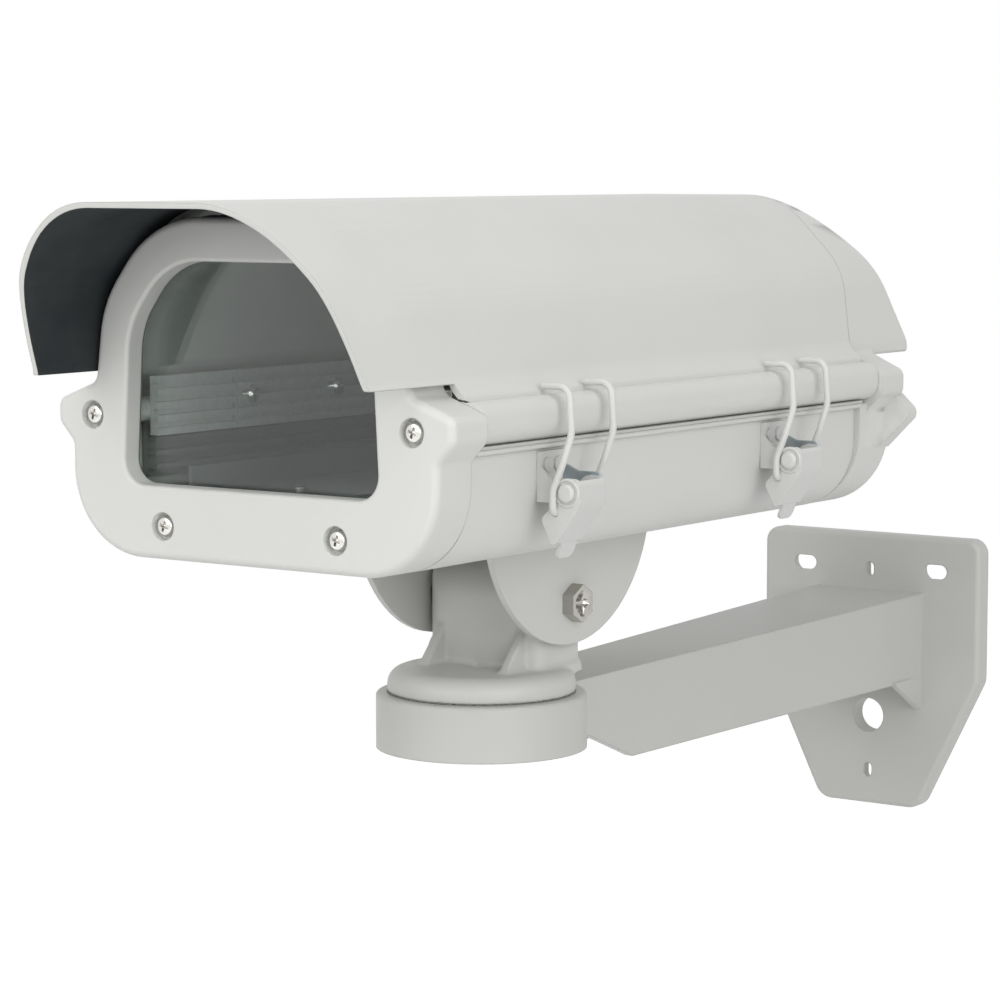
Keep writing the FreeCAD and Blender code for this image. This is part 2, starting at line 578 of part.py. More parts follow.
def lower_shell():
    body = new_body("lower_shell")
    wall = size("shell_wall")
    section = new_sketch(body, "Section", "XZ", "%r" % -SHELL_FRONT)
    tongue = size("lip_level") + size("tongue_height")
    lip = size("lip_level") - size("lip_thickness")
    outer = [(half("bead_width") - size("bead_wall") - 0.6, tongue, 0.5),
             (half("bead_width") - size("bead_wall") - 0.6, size("lip_level"), 0),
             (half("lip_width"), size("lip_level"), 0.5), (half("lip_width"), lip, 0.5),
             (half("shell_width"), lip - 0.8, 0), (half("shell_width"), size("housing_floor"), size("shell_corner"))]
    inner = [(half("shell_width") - wall, tongue, 0.5),
             (half("shell_width") - wall, size("housing_floor") + wall, size("shell_corner") - wall)]
    draw(section, channel(outer, inner))
    pad(body, section, "Shell", "Sizes.shell_length", True)
    ports = new_sketch(body, "PortSection", "XZ", "%r" % -SHELL_FRONT)
    radius = half("port_size")
    for side in (-1, 1):
        near, level = half("upper_screw_spacing") - radius, size("upper_screw_level")
        root = half("shell_width") - wall / 2
        draw(ports, [(side * near, level + radius, radius - 0.001), (side * near, level - radius, radius - 0.001),
                     (side * root, level - radius, 0), (side * root, level + radius, 0)])
    pad(body, ports, "UpperPorts", "Sizes.shell_length", True)
    low = new_sketch(body, "LowerPortSection", "XZ", "%r" % -SHELL_FRONT)
    for side in (-1, 1):
        x = side * half("lower_screw_spacing")
        level = size("lower_screw_level")
        draw(low, [(x - radius, size("housing_floor") + wall / 2, 0), (x + radius, size("housing_floor") + wall / 2, 0),
                   (x + radius, level + radius, radius - 0.001), (x - radius, level + radius, radius - 0.001)])
    pad(body, low, "LowerPorts", "Sizes.shell_length", True)
    bores = new_sketch(body, "PortBores", "XZ", "%r" % -SHELL_FRONT)
    for x, z in cover_screw_places():
        draw_circle(bores, x, z, "Sizes.screw_size / 2 + Sizes.fit")
    pocket(body, bores, "Bores")
    fixings = new_sketch(body, "BracketHoles", "XY", "Sizes.housing_floor")
    for x, y in bracket_screw_places():
        draw_circle(fixings, x, y, "Sizes.bracket_screw / 2 + Sizes.fit")
    pocket(body, fixings, "Fixings", "Sizes.shell_wall + 1", True)
    posts = new_sketch(body, "TrayPostOutline", "XY", "Sizes.housing_floor + Sizes.shell_wall / 2")
    for x, y in tray_post_places():
        draw_circle(posts, x, y, "Sizes.tray_post / 2")
    pad(body, posts, "TrayPosts", "Sizes.tray_level - Sizes.housing_floor - Sizes.shell_wall / 2")
    taps = new_sketch(body, "TrayScrewBores", "XY", "Sizes.tray_level")
    for x, y in tray_post_places():
        draw_circle(taps, x, y, "Sizes.tray_screw / 2 + Sizes.fit")
    pocket(body, taps, "TrayTaps", "Sizes.tray_screw_length")
    add_knuckles(body, "lower")
    rivets = new_sketch(body, "LatchHoles", "YZ", "Sizes.shell_width / 2 - Sizes.shell_wall - 1")
    for y in latch_rivet_places():
        draw_circle(rivets, y, latch_rivet_level(), "Sizes.screw_size * 0.4 + Sizes.fit")
    pocket(body, rivets, "LatchFixings", "Sizes.shell_wall + 3", True)
    return body


def cover_screw_places():
    return [(side * half("upper_screw_spacing"), size("upper_screw_level")) for side in (-1, 1)] + \
           [(side * half("lower_screw_spacing"), size("lower_screw_level")) for side in (-1, 1)]


def knuckle_stations():
    """Centre of each hinge along Y."""
    return [SHELL_FRONT + size("hinge_inset"), SHELL_BACK - size("hinge_inset")]


def add_knuckles(body, which):
    """Hinge knuckles on the -X side: one per station on the lower shell, two on the upper."""
    long, gap = size("knuckle_length"), size("knuckle_gap")
    for number, centre in enumerate(knuckle_stations(), start=1):
        if which == "lower":
            starts = [centre - long / 2]
        else:
            starts = [centre - long * 1.5 - gap, centre + long / 2 + gap]
        for step, start in enumerate(starts, start=1):
            tag = "%s%d%d" % (which.title(), number, step)
            sketch = new_sketch(body, "Knuckle" + tag, "XZ", "%r" % -start)
            radius = half("knuckle_size")
            x, z = -size("hinge_out"), size("hinge_level")
            if which == "lower":
                root = -half("shell_width") + 0.5
                draw(sketch, [(x - radius, z + radius, radius - 0.001), (x - radius, z - radius, radius - 0.001),
                              (root, z - 14.0, 0), (root, z - 3.0, 0), (x + radius, z - 3.0, 0),
                              (x + radius, z + radius, radius - 0.001)])
            else:
                root = -half("bead_width") + 3.0
                draw(sketch, [(x - radius, z - radius, radius - 0.001), (x + radius, z - radius, radius - 0.001),
                              (x + radius, seam_top() + 0.8, 0), (root, seam_top() + 0.8, 0), (root, z + 11.0, 0),
                              (x - radius, z + radius, 2.0)])
            pad(body, sketch, "Hinge" + tag, "Sizes.knuckle_length", True)
        bore = new_sketch(body, "RodHole%s%d" % (which.title(), number), "XZ", "%r" % -(centre - long * 1.5 - 1))
        draw_circle(bore, -size("hinge_out"), size("hinge_level"), "Sizes.rod_size / 2 + Sizes.fit")
        pocket(body, bore, "Rod%s%d" % (which.title(), number), "3 * Sizes.knuckle_length + 4")


def upper_shell():
    body = new_body("upper_shell")
    outer = upper_half()
    brow = FACE - size("hood_brow")
    inner = [(outer[0][0], outer[2][1] - 2.6, 1.0)] + upper_inner(size("hood_wall"))
    section = new_sketch(body, "Section", "XZ", "%r" % -brow)
    draw(section, channel(outer, inner))
    pad(body, section, "Shell", "%r + Sizes.upper_length" % (SHELL_FRONT - brow), True)
    rake = new_sketch(body, "RakeCut", "YZ")
    cheek = FACE - size("hood_cheek")
    slope = (cheek - brow) / (size("crown_level") - size("waist_level"))
    top = size("crown_level") + 5
    draw(rake, [(brow - 5, top, 0), (brow - 5, seam_top() - 5, 0), (SHELL_FRONT + size("bead_start_gap"), seam_top() - 5, 0),
                (SHELL_FRONT + size("bead_start_gap"), size("waist_level"), 0), (cheek, size("waist_level"), 1.0),
                (brow - slope * 5, top, 0)])
    pocket(body, rake, "Rake")
    add_knuckles(body, "upper")
    return body


def seals():
    """A foam strip on each lip, and the strip between the hood and the front cover."""
    for side, label in ((1, "latch_side_seal"), (-1, "hinge_side_seal")):
        body = new_body(label)
        sketch = new_sketch(body, "Section", "XZ", "%r" % -(SHELL_FRONT + 1))
        level = size("lip_level")
        x0 = half("bead_width") - size("bead_wall") + 0.1
        x1 = half("lip_width") - 0.4
        low, high = min(side * x0, side * x1), max(side * x0, side * x1)
        draw(sketch, box_outline(low, high, level + size("seam_gap"), level + size("seam_gap") + size("seal_thickness")))
        pad(body, sketch, "Strip", "Sizes.shell_length - 2", True)
    body = new_body("hood_seal")
    sketch = new_sketch(body, "Section", "XZ", "%r" % -(COVER_BACK - size("hood_seal_width") - 2))
    skin = cover_half()[:3]
    level = size("waist_level") + 2
    (x2, z2, r2), (x3, z3, r3) = skin[1], skin[2]
    foot = x2 + (x3 - x2) * (z2 - level) / (z2 - z3)
    chain = [(foot, level, 0), skin[1], skin[0], (-skin[0][0], skin[0][1], skin[0][2])]
    thick = size("hood_seal_thickness")
    outer = [(foot + thick, level, 0)] + offset_chain(chain, thick)
    inner = offset_chain(chain, 0.05)
    draw(sketch, channel(outer, [(foot + 0.05, level, 0)] + inner))
    pad(body, sketch, "Strip", "Sizes.hood_seal_width", True)


# Front cover

def cover_half():
    """+X half of the front cover's outline, from the crown to the bottom corner."""
    return [(half("cover_crown_width"), size("cover_top"), 44.0),
            (half("cover_shoulder_width"), size("cover_shoulder_level"), 40.0),
            (half("cover_waist_width"), size("cover_waist_level"), 5.0),
            (half("ear_width"), size("ear_top"), 4.0), (half("ear_width"), size("ear_bottom"), 5.0),
            (half("cover_width"), size("ear_root"), 4.0),
            (half("cover_width"), size("housing_floor"), size("cover_corner"))]


def cover_cavity():
    """+X half of the space inside a cover, inside its walls and ears."""
    wall = size("cover_wall")
    return [(half("cover_crown_width") - wall * 0.5, size("cover_top") - wall, 40.0),
            (half("cover_shoulder_width") - wall, size("cover_shoulder_level") - wall * 0.5, 36.0),
            (half("cover_waist_width") - wall, size("cover_waist_level") - 1.0, 8.0),
            (half("cover_width") - wall, size("cover_waist_level") - 9.0, 4.0),
            (half("cover_width") - wall, size("housing_floor") + wall, size("cover_corner") - wall)]


def window_half(margin=0.0):
    """+X half of the window's outline, a margin outside the clear opening."""
    points = [(half("window_crown_width"), size("window_top"), 30.0),
              (half("window_shoulder_width"), size("window_shoulder_level"), 30.0),
              (half("window_width"), size("window_bottom"), size("window_corner"))]
    if not margin:
        return points
    chain = [(-points[0][0], points[0][1], 30.0)] + points + [(-points[-1][0], points[-1][1], 9.0)]
    return offset_chain(chain, -margin)


def front_cover():
    body = new_body("front_cover")
    outline = new_sketch(body, "Outline", "XZ", "Sizes.cover_face")
    draw(outline, closed(cover_half()))
    pad(body, outline, "Casting", "Sizes.cover_depth", True)
    dress(body, "FrontEdge", "Fillet", "Sizes.cover_edge", lambda edge: on_level(edge, 1, FACE))
    cavity = new_sketch(body, "Cavity", "XZ", "%r" % -COVER_BACK)
    draw(cavity, closed(cover_cavity()))
    draw(cavity, closed(window_half(size("cover_wall"))))
    pocket(body, cavity, "Hollow", "Sizes.cover_depth - Sizes.cover_wall", True)
    seat = new_sketch(body, "GlassSeat", "XZ", "%r" % -COVER_BACK)
    draw(seat, closed(window_half(size("cover_wall") + 0.5)))
    pocket(body, seat, "Seat", "Sizes.cover_depth - Sizes.window_recess", True)
    window = new_sketch(body, "Window", "XZ", "Sizes.cover_face")
    draw(window, closed(window_half()))
    pocket(body, window, "Opening")
    dress(body, "WindowEdge", "Fillet", "1.5", lambda edge: on_level(edge, 1, FACE)
          and edge.BoundBox.ZMin > size("window_bottom") - 1 and edge.BoundBox.ZMax < size("window_top") + 1
          and abs(edge.BoundBox.Center.x) < half("window_width") + 0.1)
    bosses = new_sketch(body, "Bosses", "XZ", "%r" % -COVER_BACK)
    for x, z in cover_screw_places():
        draw_circle(bosses, x, z, "Sizes.boss_size / 2")
    pad(body, bosses, "Pillars", "Sizes.cover_depth - Sizes.cover_wall + 1")
    clip_seat = "%r" % -(glass_back() - 0.05)
    posts = new_sketch(body, "ClipPosts", "XZ", clip_seat)
    for x, z, angle in clip_places():
        draw_circle(posts, x, z, "Sizes.clip_post / 2")
    pad(body, posts, "ClipPillars", "%r - Sizes.cover_wall + 1" % (glass_back() - FACE))
    bores = new_sketch(body, "ClipBores", "XZ", clip_seat)
    for x, z, angle in clip_places():
        draw_circle(bores, x, z, "Sizes.clip_screw / 2 + Sizes.fit")
    pocket(body, bores, "ClipHoles", "Sizes.clip_screw_length", True)
    holes = new_sketch(body, "ScrewHoles", "XZ", "Sizes.cover_face")
    for x, z in cover_screw_places():
        draw_circle(holes, x, z, "Sizes.screw_size / 2 + 0.25")
    pocket(body, holes, "Holes")
    sinks = new_sketch(body, "Counterbores", "XZ", "Sizes.cover_face")
    for x, z in cover_screw_places():
        draw_circle(sinks, x, z, "Sizes.counterbore / 2")
    pocket(body, sinks, "Sinks", "Sizes.counterbore_depth")
    return body


def glass_back():
    """Y of the pane's inner face."""
    return FACE + size("window_recess") + size("glass_gasket_thickness") + 2 * size("glass_gap") + size("glass_thickness")


def clip_places():
    """X, Z and turn of each glass clip, clear of the window's opening."""
    low = size("window_bottom") - size("clip_offset")
    high = size("window_top") + size("clip_offset") - 1.2
    return [(-52.0, low, 0), (0.0, low, 0), (52.0, low, 0), (0.0, high, 180)]


def cover_screws(label, seat, direction, length):
    """Four pan-head screws with their heads seated at a level of Y."""
    solids = []
    for x, z in cover_screw_places():
        start = seat - direction * 0.02
        profile = [Vector(0, 0, 0), Vector(half("screw_head"), 0, 0), Vector(half("screw_head"), 1.4, 0),
                   Vector(half("screw_head") - 1.3, size("screw_head_height"), 0), Vector(0, size("screw_head_height"), 0)]
        face = Part.Face(Part.makePolygon(profile + [profile[0]]))
        head = face.revolve(Vector(0, 0, 0), Vector(0, 1, 0), 360)
        shank = rod(half("screw_size"), length, (0, 0.01, 0), (0, -1, 0))
        screw = head.fuse(shank).removeSplitter()
        turn = FreeCAD.Rotation(Vector(0, 1, 0), Vector(0, -direction, 0))
        screw.Placement = FreeCAD.Placement(Vector(x, start, z), turn)
        solids.append(screw)
    keep(Part.makeCompound(solids), label)


def glass():
    body = new_body("front_glass")
    start = FACE + size("window_recess") + size("glass_gasket_thickness") + 2 * size("glass_gap")
    margin = size("cover_wall") + 0.2
    sketch = new_sketch(body, "Outline", "XZ", "%r" % -start)
    draw(sketch, closed(window_half(margin)))
    pad(body, sketch, "Pane", "Sizes.glass_thickness", True)
    ring = new_body("glass_gasket")
    sketch = new_sketch(ring, "Ring", "XZ", "%r" % -(FACE + size("window_recess") + size("glass_gap")))
    draw(sketch, closed(window_half(margin)))
    draw(sketch, closed(window_half(0.4)))
    pad(ring, sketch, "Seal", "Sizes.glass_gasket_thickness", True)
    back = glass_back() + 0.05
    clips = []
    screws = []
    for x, z, angle in clip_places():
        tongue = Part.makeBox(12.0, 1.5, 11.5, Vector(-6.0, 0, -3.5))
        clip = tongue.cut(rod(half("clip_screw") + size("fit"), 4.0, (0, -1, 0), (0, 1, 0)))
        clip.Placement = FreeCAD.Placement(Vector(x, back, z), FreeCAD.Rotation(Vector(0, 1, 0), angle))
        clips.append(clip)
        head = rod(half("clip_screw") + 1.3, 2.0, (x, back + 1.52, z), (0, 1, 0))
        shank = rod(half("clip_screw"), size("clip_screw_length") + 1.0, (x, back + 1.6, z), (0, -1, 0))
        screws.append(head.fuse(shank).removeSplitter())
    keep(Part.makeCompound(clips), "glass_clips")
    keep(Part.makeCompound(screws), "clip_screws")


def shell_gasket(label, start):
    """U-shaped gasket between a cover and the end of the lower shell."""
    body = new_body(label)
    sketch = new_sketch(body, "Section", "XZ", "%r" % -start)
    wall = size("shell_wall")
    top = size("lip_level") - 1
    outer = [(half("shell_width") - 0.3, top, 0), (half("shell_width") - 0.3, size("housing_floor") + 0.3, size("shell_corner"))]
    inner = [(half("shell_width") - wall - 1.5, top, 0),
             (half("shell_width") - wall - 1.5, size("housing_floor") + wall + 1.5, size("shell_corner") - wall - 1.2)]
    draw(sketch, channel(outer, inner))
    pad(body, sketch, "Strip", "Sizes.gasket_thickness - 0.1", True)


# Rear cover

def rear_cover():
    """Cast cover whose raked, hollow dome carries the line of the upper shell on to the rear."""
    front = REAR_FRONT
    step = UPPER_BACK + 0.3
    back = -size("rear_back")
    tail = -size("rear_tail")
    wall = size("rear_wall")
    body = new_body("rear_cover")
    skirt = new_sketch(body, "SkirtOutline", "XZ", "%r" % -front)
    width = half("cover_width")
    draw(skirt, closed([(width, size("lip_level") - 0.3, 1.5), (width, size("housing_floor"), size("cover_corner"))]))
    pad(body, skirt, "Skirt", "%r" % (back - front), True)
    block = new_sketch(body, "BlockOutline", "XZ", "%r" % -step)
    skin = upper_half()
    draw(block, closed([skin[6], skin[5], (half("waist_width"), size("waist_level") - 3.4, 5.0)] + cover_half()[3:]))
    pad(body, block, "Block", "%r" % (back - step), True)
    dome = new_sketch(body, "DomeOutline", "XZ", "%r" % -step)
    draw(dome, closed([skin[6], skin[5], (half("waist_width"), size("waist_level"), 0),
                       (half("waist_width"), size("tail_level"), 1.5)]))
    pad(body, dome, "Dome", "%r" % (tail - step), True)
    rake = new_sketch(body, "RakeCut", "YZ")
    draw(rake, rake_outline(step, tail, 0.0))
    pocket(body, rake, "Rake")
    lobes = new_sketch(body, "LobeOutline", "XZ", "%r" % -(back - 4.0))
    lobe = half("lobe_width")
    for side in (-1, 1):
        draw(lobes, [(side * (width - 6), size("lobe_level") + 12, 0), (side * (width + 1), size("lobe_level") + 11, 2.0),
                     (side * lobe, size("lobe_level"), 4.0), (side * (width - 2), size("lobe_level") - 15, 2.0),
                     (side * (width - 6), size("lobe_level") - 15, 0)])
    pad(body, lobes, "Lobes", "8", True)
    lower = new_sketch(body, "CavityOutline", "XZ", "%r" % -front)
    draw(lower, closed([(half("waist_width") - wall - 3, size("waist_level") + 4, 0),
                        (half("waist_width") - wall - 3, size("waist_level") - 4, 8.0)] + cover_cavity()[3:]))
    pocket(body, lower, "Cavity", "%r" % (back - wall - front))
    chain = [(step, size("crown_level"), 0), (step + 20, size("crown_level") - 17, 30.0),
             (tail, size("waist_level"), 0), (tail, size("tail_level") - wall, 0)]
    bend, heel = offset_chain(chain, wall)
    floor = size("tail_level") + wall
    for tag, width, high in (("Low", half("shoulder_width") - wall - 1, size("shoulder_level") - 4),
                             ("High", half("crown_width"), size("crown_level") - wall - 3)):
        slope = (high - bend[1]) / (heel[1] - bend[1])
        ridge = [(front - 1, floor, 0), (front - 1, high, 0)]
        if high > bend[1]:
            ridge += [(bend[0] - (high - bend[1]) * 20 / 17, high, 0), (bend[0], bend[1], 0)]
        else:
            ridge += [(bend[0] + slope * (heel[0] - bend[0]), high, 0)]
        dome_cut = new_sketch(body, "DomeSpace" + tag, "YZ")
        draw(dome_cut, ridge + [(heel[0], floor, 0)])
        cut = pocket(body, dome_cut, "Dome" + tag + "Space", "%r" % (2 * width))
        cut.SideType = "Symmetric"
    pillars = new_sketch(body, "Pillars", "XZ", "%r" % -front)
    for x, z in cover_screw_places():
        draw_circle(pillars, x, z, "Sizes.boss_size / 2")
    pad(body, pillars, "Bosses", "%r" % (back - front), True)
    holes = new_sketch(body, "ScrewHoles", "XZ", "%r" % -front)
    for x, z in cover_screw_places():
        draw_circle(holes, x, z, "Sizes.screw_size / 2 + 0.25")
    for side in (-1, 1):
        draw_circle(holes, side * half("gland_spacing"), size("gland_level"), "Sizes.gland_size / 2 + Sizes.fit")
    pocket(body, holes, "Holes")
    sinks = new_sketch(body, "Counterbores", "XZ", "%r" % -back)
    for x, z in cover_screw_places():
        draw_circle(sinks, x, z, "Sizes.counterbore / 2")
    pocket(body, sinks, "Sinks", "Sizes.counterbore_depth", True)
    return body


def rake_outline(start, tail, inset):
    """Side view of what is cut away above the raked rear: a rounded shoulder, then a straight slope."""
    top = size("crown_level") + 6
    return [(start + 0.0 + inset, top, 0), (start - inset, size("crown_level") - inset, 0),
            (start + 20 - inset, size("crown_level") - 17 - inset, 30.0), (tail - inset, size("waist_level") - inset, 6.0),
            (tail - inset, size("tail_level") - 5, 0), (tail + 5, size("tail_level") - 5, 0), (tail + 5, top, 0)]


def glands():
    bodies, nuts, cores = [], [], []
    for side in (-1, 1):
        x, z = side * half("gland_spacing"), size("gland_level")
        back = -size("rear_back")
        bore = rod(half("gland_bore") + 0.05, 60.0, (x, back - 25, z), (0, 1, 0))
        thread = rod(half("gland_size"), size("rear_wall") + 9.0, (x, back - size("rear_wall") - 8.0, z), (0, 1, 0))
        flange = hexagon(size("gland_nut"), 5.0, (x, back + 0.05, z), (0, 1, 0))
        collar = rod(half("gland_size") + 1.5, 8.0, (x, back + 5.0, z), (0, 1, 0))
        bodies.append(thread.fuse([flange, collar]).cut(bore).removeSplitter())
        ring = hexagon(size("gland_nut"), 4.0, (x, back - size("rear_wall") - 4.1, z), (0, 1, 0))
        nuts.append(ring.cut(rod(half("gland_size") + size("fit"), 6.0, (x, back - size("rear_wall") - 5.0, z), (0, 1, 0))))
        cap = rod(half("gland_size") + 3.0, 9.0, (x, back + 13.1, z), (0, 1, 0)).cut(bore)
        cores.append(cap)
    keep(Part.makeCompound(bodies), "gland_bodies")
    keep(Part.makeCompound(nuts), "gland_locknuts")
    keep(Part.makeCompound(cores), "gland_caps")


# Latches

def latch_rivet_level():
    return size("pivot_level") + 9.0


def latch_starts():
    """Y of each lever's front cheek."""
    first = FACE + size("latch_first")
    return [("front", first), ("rear", first + size("latch_pitch"))]


def latch_rivet_places():
    width = size("lever_width")
    return [start + offset for name, start in latch_starts() for offset in (width * 0.4, width * 0.8)]


def lever_outline():
    """Side view of the lever: rounded about its pivot, web outermost, tapering to the toe."""
    x, z = size("pivot_out"), size("pivot_level")
    return [(x - 5.2, z + 5.2, 5.0), (x + 5.6, z + 5.2, 3.0), (x + 5.6, z - 4.5, 6.0), (x - 4.4, z - 18.0, 1.0),
            (x - 6.5, z - 19.0, 1.0), (x - 11.2, z - 9.7, 2.5), (x - 5.2, z - 4.0, 3.0)]


def lever(name, start):
    body = new_body("latch_lever_" + name)
    gauge = size("lever_gauge")
    side = new_sketch(body, "CheekOutline", "XZ", "%r" % -start)
    draw(side, lever_outline())
    pad(body, side, "Blank", "Sizes.lever_width", True)
    x, z = size("pivot_out"), size("pivot_level")
    inside = new_sketch(body, "Inside", "XZ", "%r" % -(start + gauge))
    draw(inside, [(x - 20, z + 8, 0), (x + 5.6 - gauge, z + 8, 0), (x + 5.6 - gauge, z - 4.1, 5.0),
                  (x - 5.6, z - 18.9, 0), (x - 9.0, z - 22.0, 0), (x - 20, z - 22.0, 0)])
    pocket(body, inside, "Channel", "Sizes.lever_width - 2 * Sizes.lever_gauge")
    toe = new_sketch(body, "ToeOutline", "XZ", "%r" % -(start + 3.0))
    draw(toe, [(x - 4.6, z - 17.4, 0), (x - 5.6, z - 18.9, 0), (x - 7.6, z - 23.6, 0), (x - 6.5, z - 24.0, 0),
               (x - 4.2, z - 18.6, 0)])
    pad(body, toe, "Toe", "10", True)
    pivot = new_sketch(body, "PivotHole", "XZ", "%r" % -start)
    draw_circle(pivot, x, z, "Sizes.pivot_size / 2 + Sizes.fit")
    draw_circle(pivot, size("eye_out"), size("eye_level"), "Sizes.wire_size / 2 + Sizes.fit")
    pocket(body, pivot, "Holes")
    return body


def latch_base(name, start):
    """Plate on the shell with one ear inside the front cheek and one outside the rear cheek."""
    body = new_body("latch_base_" + name)
    gauge, gap = size("ear_gauge"), size("latch_gap")
    wall = half("shell_width") + 0.05
    front = start + size("lever_gauge") + gap
    rear = start + size("lever_width") + gap
    sketch = new_sketch(body, "PlateOutline", "YZ", "%r" % wall)
    z = size("pivot_level")
    draw(sketch, box_outline(front, rear + gauge, z - 4.0, z + 14.0))
    pad(body, sketch, "Plate", "Sizes.ear_gauge")
    x = size("pivot_out")
    for tag, y in (("Front", front), ("Rear", rear)):
        high = 3.2 if tag == "Front" else 6.4
        ear = new_sketch(body, "%sEar" % tag, "XZ", "%r" % -y)
        draw(ear, [(wall, z - 4.0, 0), (x + 4.0, z - 4.0, 3.4), (x + 4.0, z + high, 3.0), (x - 6.5, z + high, 1.0),
                   (wall + gauge, z + 9.0, 0), (wall, z + 9.0, 0)])
        pad(body, ear, "%sCheek" % tag, "Sizes.ear_gauge", True)
    pivot = new_sketch(body, "PivotHole", "XZ", "%r" % -start)
    draw_circle(pivot, x, z, "Sizes.pivot_size / 2 + Sizes.fit")
    pocket(body, pivot, "Pivot")
    rivets = new_sketch(body, "RivetHoles", "YZ", "%r" % (wall - 1))
    for place in latch_rivet_places():
        if front < place < rear:
            draw_circle(rivets, place, latch_rivet_level(), "Sizes.screw_size * 0.4 + Sizes.fit")
    pocket(body, rivets, "Rivets", "Sizes.ear_gauge + 2", True)
    return body


def latch_pivot(name, start):
    """Rivet along Y with a domed head at the front and a flat one at the rear."""
    body = new_body("latch_pivot_" + name)
    x, z = size("pivot_out"), size("pivot_level")
    rear = start + size("lever_width") + size("latch_gap") + size("ear_gauge") + 0.05
    shank = new_sketch(body, "Shank", "XZ", "%r" % -(start - 0.5))
    draw_circle(shank, x, z, "Sizes.pivot_size / 2")
    pad(body, shank, "Pin", "%r" % (rear - start + 1.0), True)
    head = new_sketch(body, "Head", "XZ", "%r" % -(start - 0.05))
    draw_circle(head, x, z, "Sizes.pivot_head / 2")
    pad(body, head, "Dome", "Sizes.pivot_head_height")
    dress(body, "DomeEdge", "Fillet", "Sizes.pivot_head_height * 0.8",
          lambda edge: on_level(edge, 1, start - 0.05 - size("pivot_head_height")))
    tail = new_sketch(body, "TailHead", "XZ", "%r" % -rear)
    draw_circle(tail, x, z, "Sizes.pivot_head / 2 - 0.5")
    pad(body, tail, "Tail", "1.0", True)
    return body


def latch_rivets():
    """Blind rivets that hold the latch bases to the shell."""
    solids = []
    radius = size("screw_size") * 0.4
    outer = half("shell_width") + 0.05 + size("ear_gauge") + 0.05
    for y in latch_rivet_places():
        shank = rod(radius, size("shell_wall") + size("ear_gauge"), (outer + 0.01, y, latch_rivet_level()), (-1, 0, 0))
        head = rod(radius * 1.7, 0.9, (outer, y, latch_rivet_level()), (1, 0, 0))
        solids.append(shank.fuse(head).removeSplitter())
    keep(Part.makeCompound(solids), "latch_rivets")


def bail(name, start):
    """Spring wire: two hooked legs over the bead, joined by the pin through the lever's cheeks."""
    radius = half("wire_size")
    lean = 6.0
    front = start - radius - 0.15
    rear = front + 27.0
    top = size("lip_level") + 20.0
    ex, ez = size("eye_out"), size("eye_level")

    def leg(y):
        return [Vector(half("bead_width") - 7.0, y + lean, top - 0.2), Vector(half("bead_width") + 4.6, y + lean * 0.96, top),
                Vector(half("bead_width") + 6.6, y + lean * 0.7, top - 17), Vector(ex + 3.2, y + lean * 0.2, ez + 17.0),
                Vector(ex, y, ez + 8.0), Vector(ex, y, ez)]

    near, far = leg(front), leg(rear)
    points = near + list(reversed(far))
    radii = [None, 5.0, 14.0, 14.0, 10.0, 2.2, 2.2, 10.0, 14.0, 14.0, 5.0, None]
    keep(wire_solid(points, radii, radius), "bail_" + name)


def wire_solid(points, radii, radius):
    """Round wire along straight runs joined by tangent arcs."""
    edges = []
    at = points[0]
    for index in range(1, len(points) - 1):
        here = points[index]
        back = (points[index - 1] - here).normalize()
        ahead = (points[index + 1] - here).normalize()
        angle = back.getAngle(ahead) / 2
        reach = radii[index] / math.tan(angle)
        start, end = here + back * reach, here + ahead * reach
        middle = here + (back + ahead).normalize() * (radii[index] / math.sin(angle) - radii[index])
        if (start - at).Length > 1e-4:
            edges.append(Part.LineSegment(at, start).toShape())
        edges.append(Part.Arc(start, middle, end).toShape())
        at = end
    edges.append(Part.LineSegment(at, points[-1]).toShape())
    path = Part.Wire(edges)
    ring = Part.Wire(Part.makeCircle(radius, points[0], points[1] - points[0]))
    return path.makePipeShell([ring], True, False, 2)


# Hinge rod and inside

def hinge_rod():
    reach = size("knuckle_length") * 1.5 + size("knuckle_gap") + 2.0
    first, last = knuckle_stations()
    x, z = -size("hinge_out"), size("hinge_level")
    keep(rod(half("rod_size"), last - first + 2 * reach, (x, first - reach, z), (0, 1, 0)), "hinge_rod")


def rails():
    """Finned aluminium rail along each side wall, with the screws that hold it."""
    for side, label in ((-1, "rail_hinge_side"), (1, "rail_latch_side")):
        body = new_body(label)
        start = SHELL_FRONT + 14.0
        wall = half("shell_width") - size("shell_wall") - 0.3
        z0 = size("rail_level")
        deep, tall = size("rail_depth"), size("rail_height")
        inner = wall - deep
        points = [(wall, z0, 0), (wall, z0 + tall, 0), (inner, z0 + tall, 0)]
        fins = 4
        pitch = tall / fins
        for index in range(fins):
            high = z0 + tall - index * pitch
            points += [(inner, high - pitch * 0.4, 0), (inner + deep * 0.6, high - pitch * 0.4, 0),
                       (inner + deep * 0.6, high - pitch * 0.999, 0)]
            if index < fins - 1:
                points.append((inner, high - pitch * 0.999, 0))
        points = points[:-1] + [(inner + deep * 0.6, z0, 0)]
        sketch = new_sketch(body, "Section", "XZ", "%r" % -start)
        draw(sketch, [(side * px, pz, 0) for px, pz, pr in points])
        pad(body, sketch, "Rail", "Sizes.rail_length", True)


def tray_post_places():
    """X and Y of the four posts that carry the tray."""
    front = SHELL_FRONT + size("tray_start") + size("tray_post_inset")
    rear = SHELL_FRONT + size("tray_start") + size("tray_length") - size("tray_post_inset")
    return [(side * half("tray_post_spacing"), y) for side in (-1, 1) for y in (front, rear)]


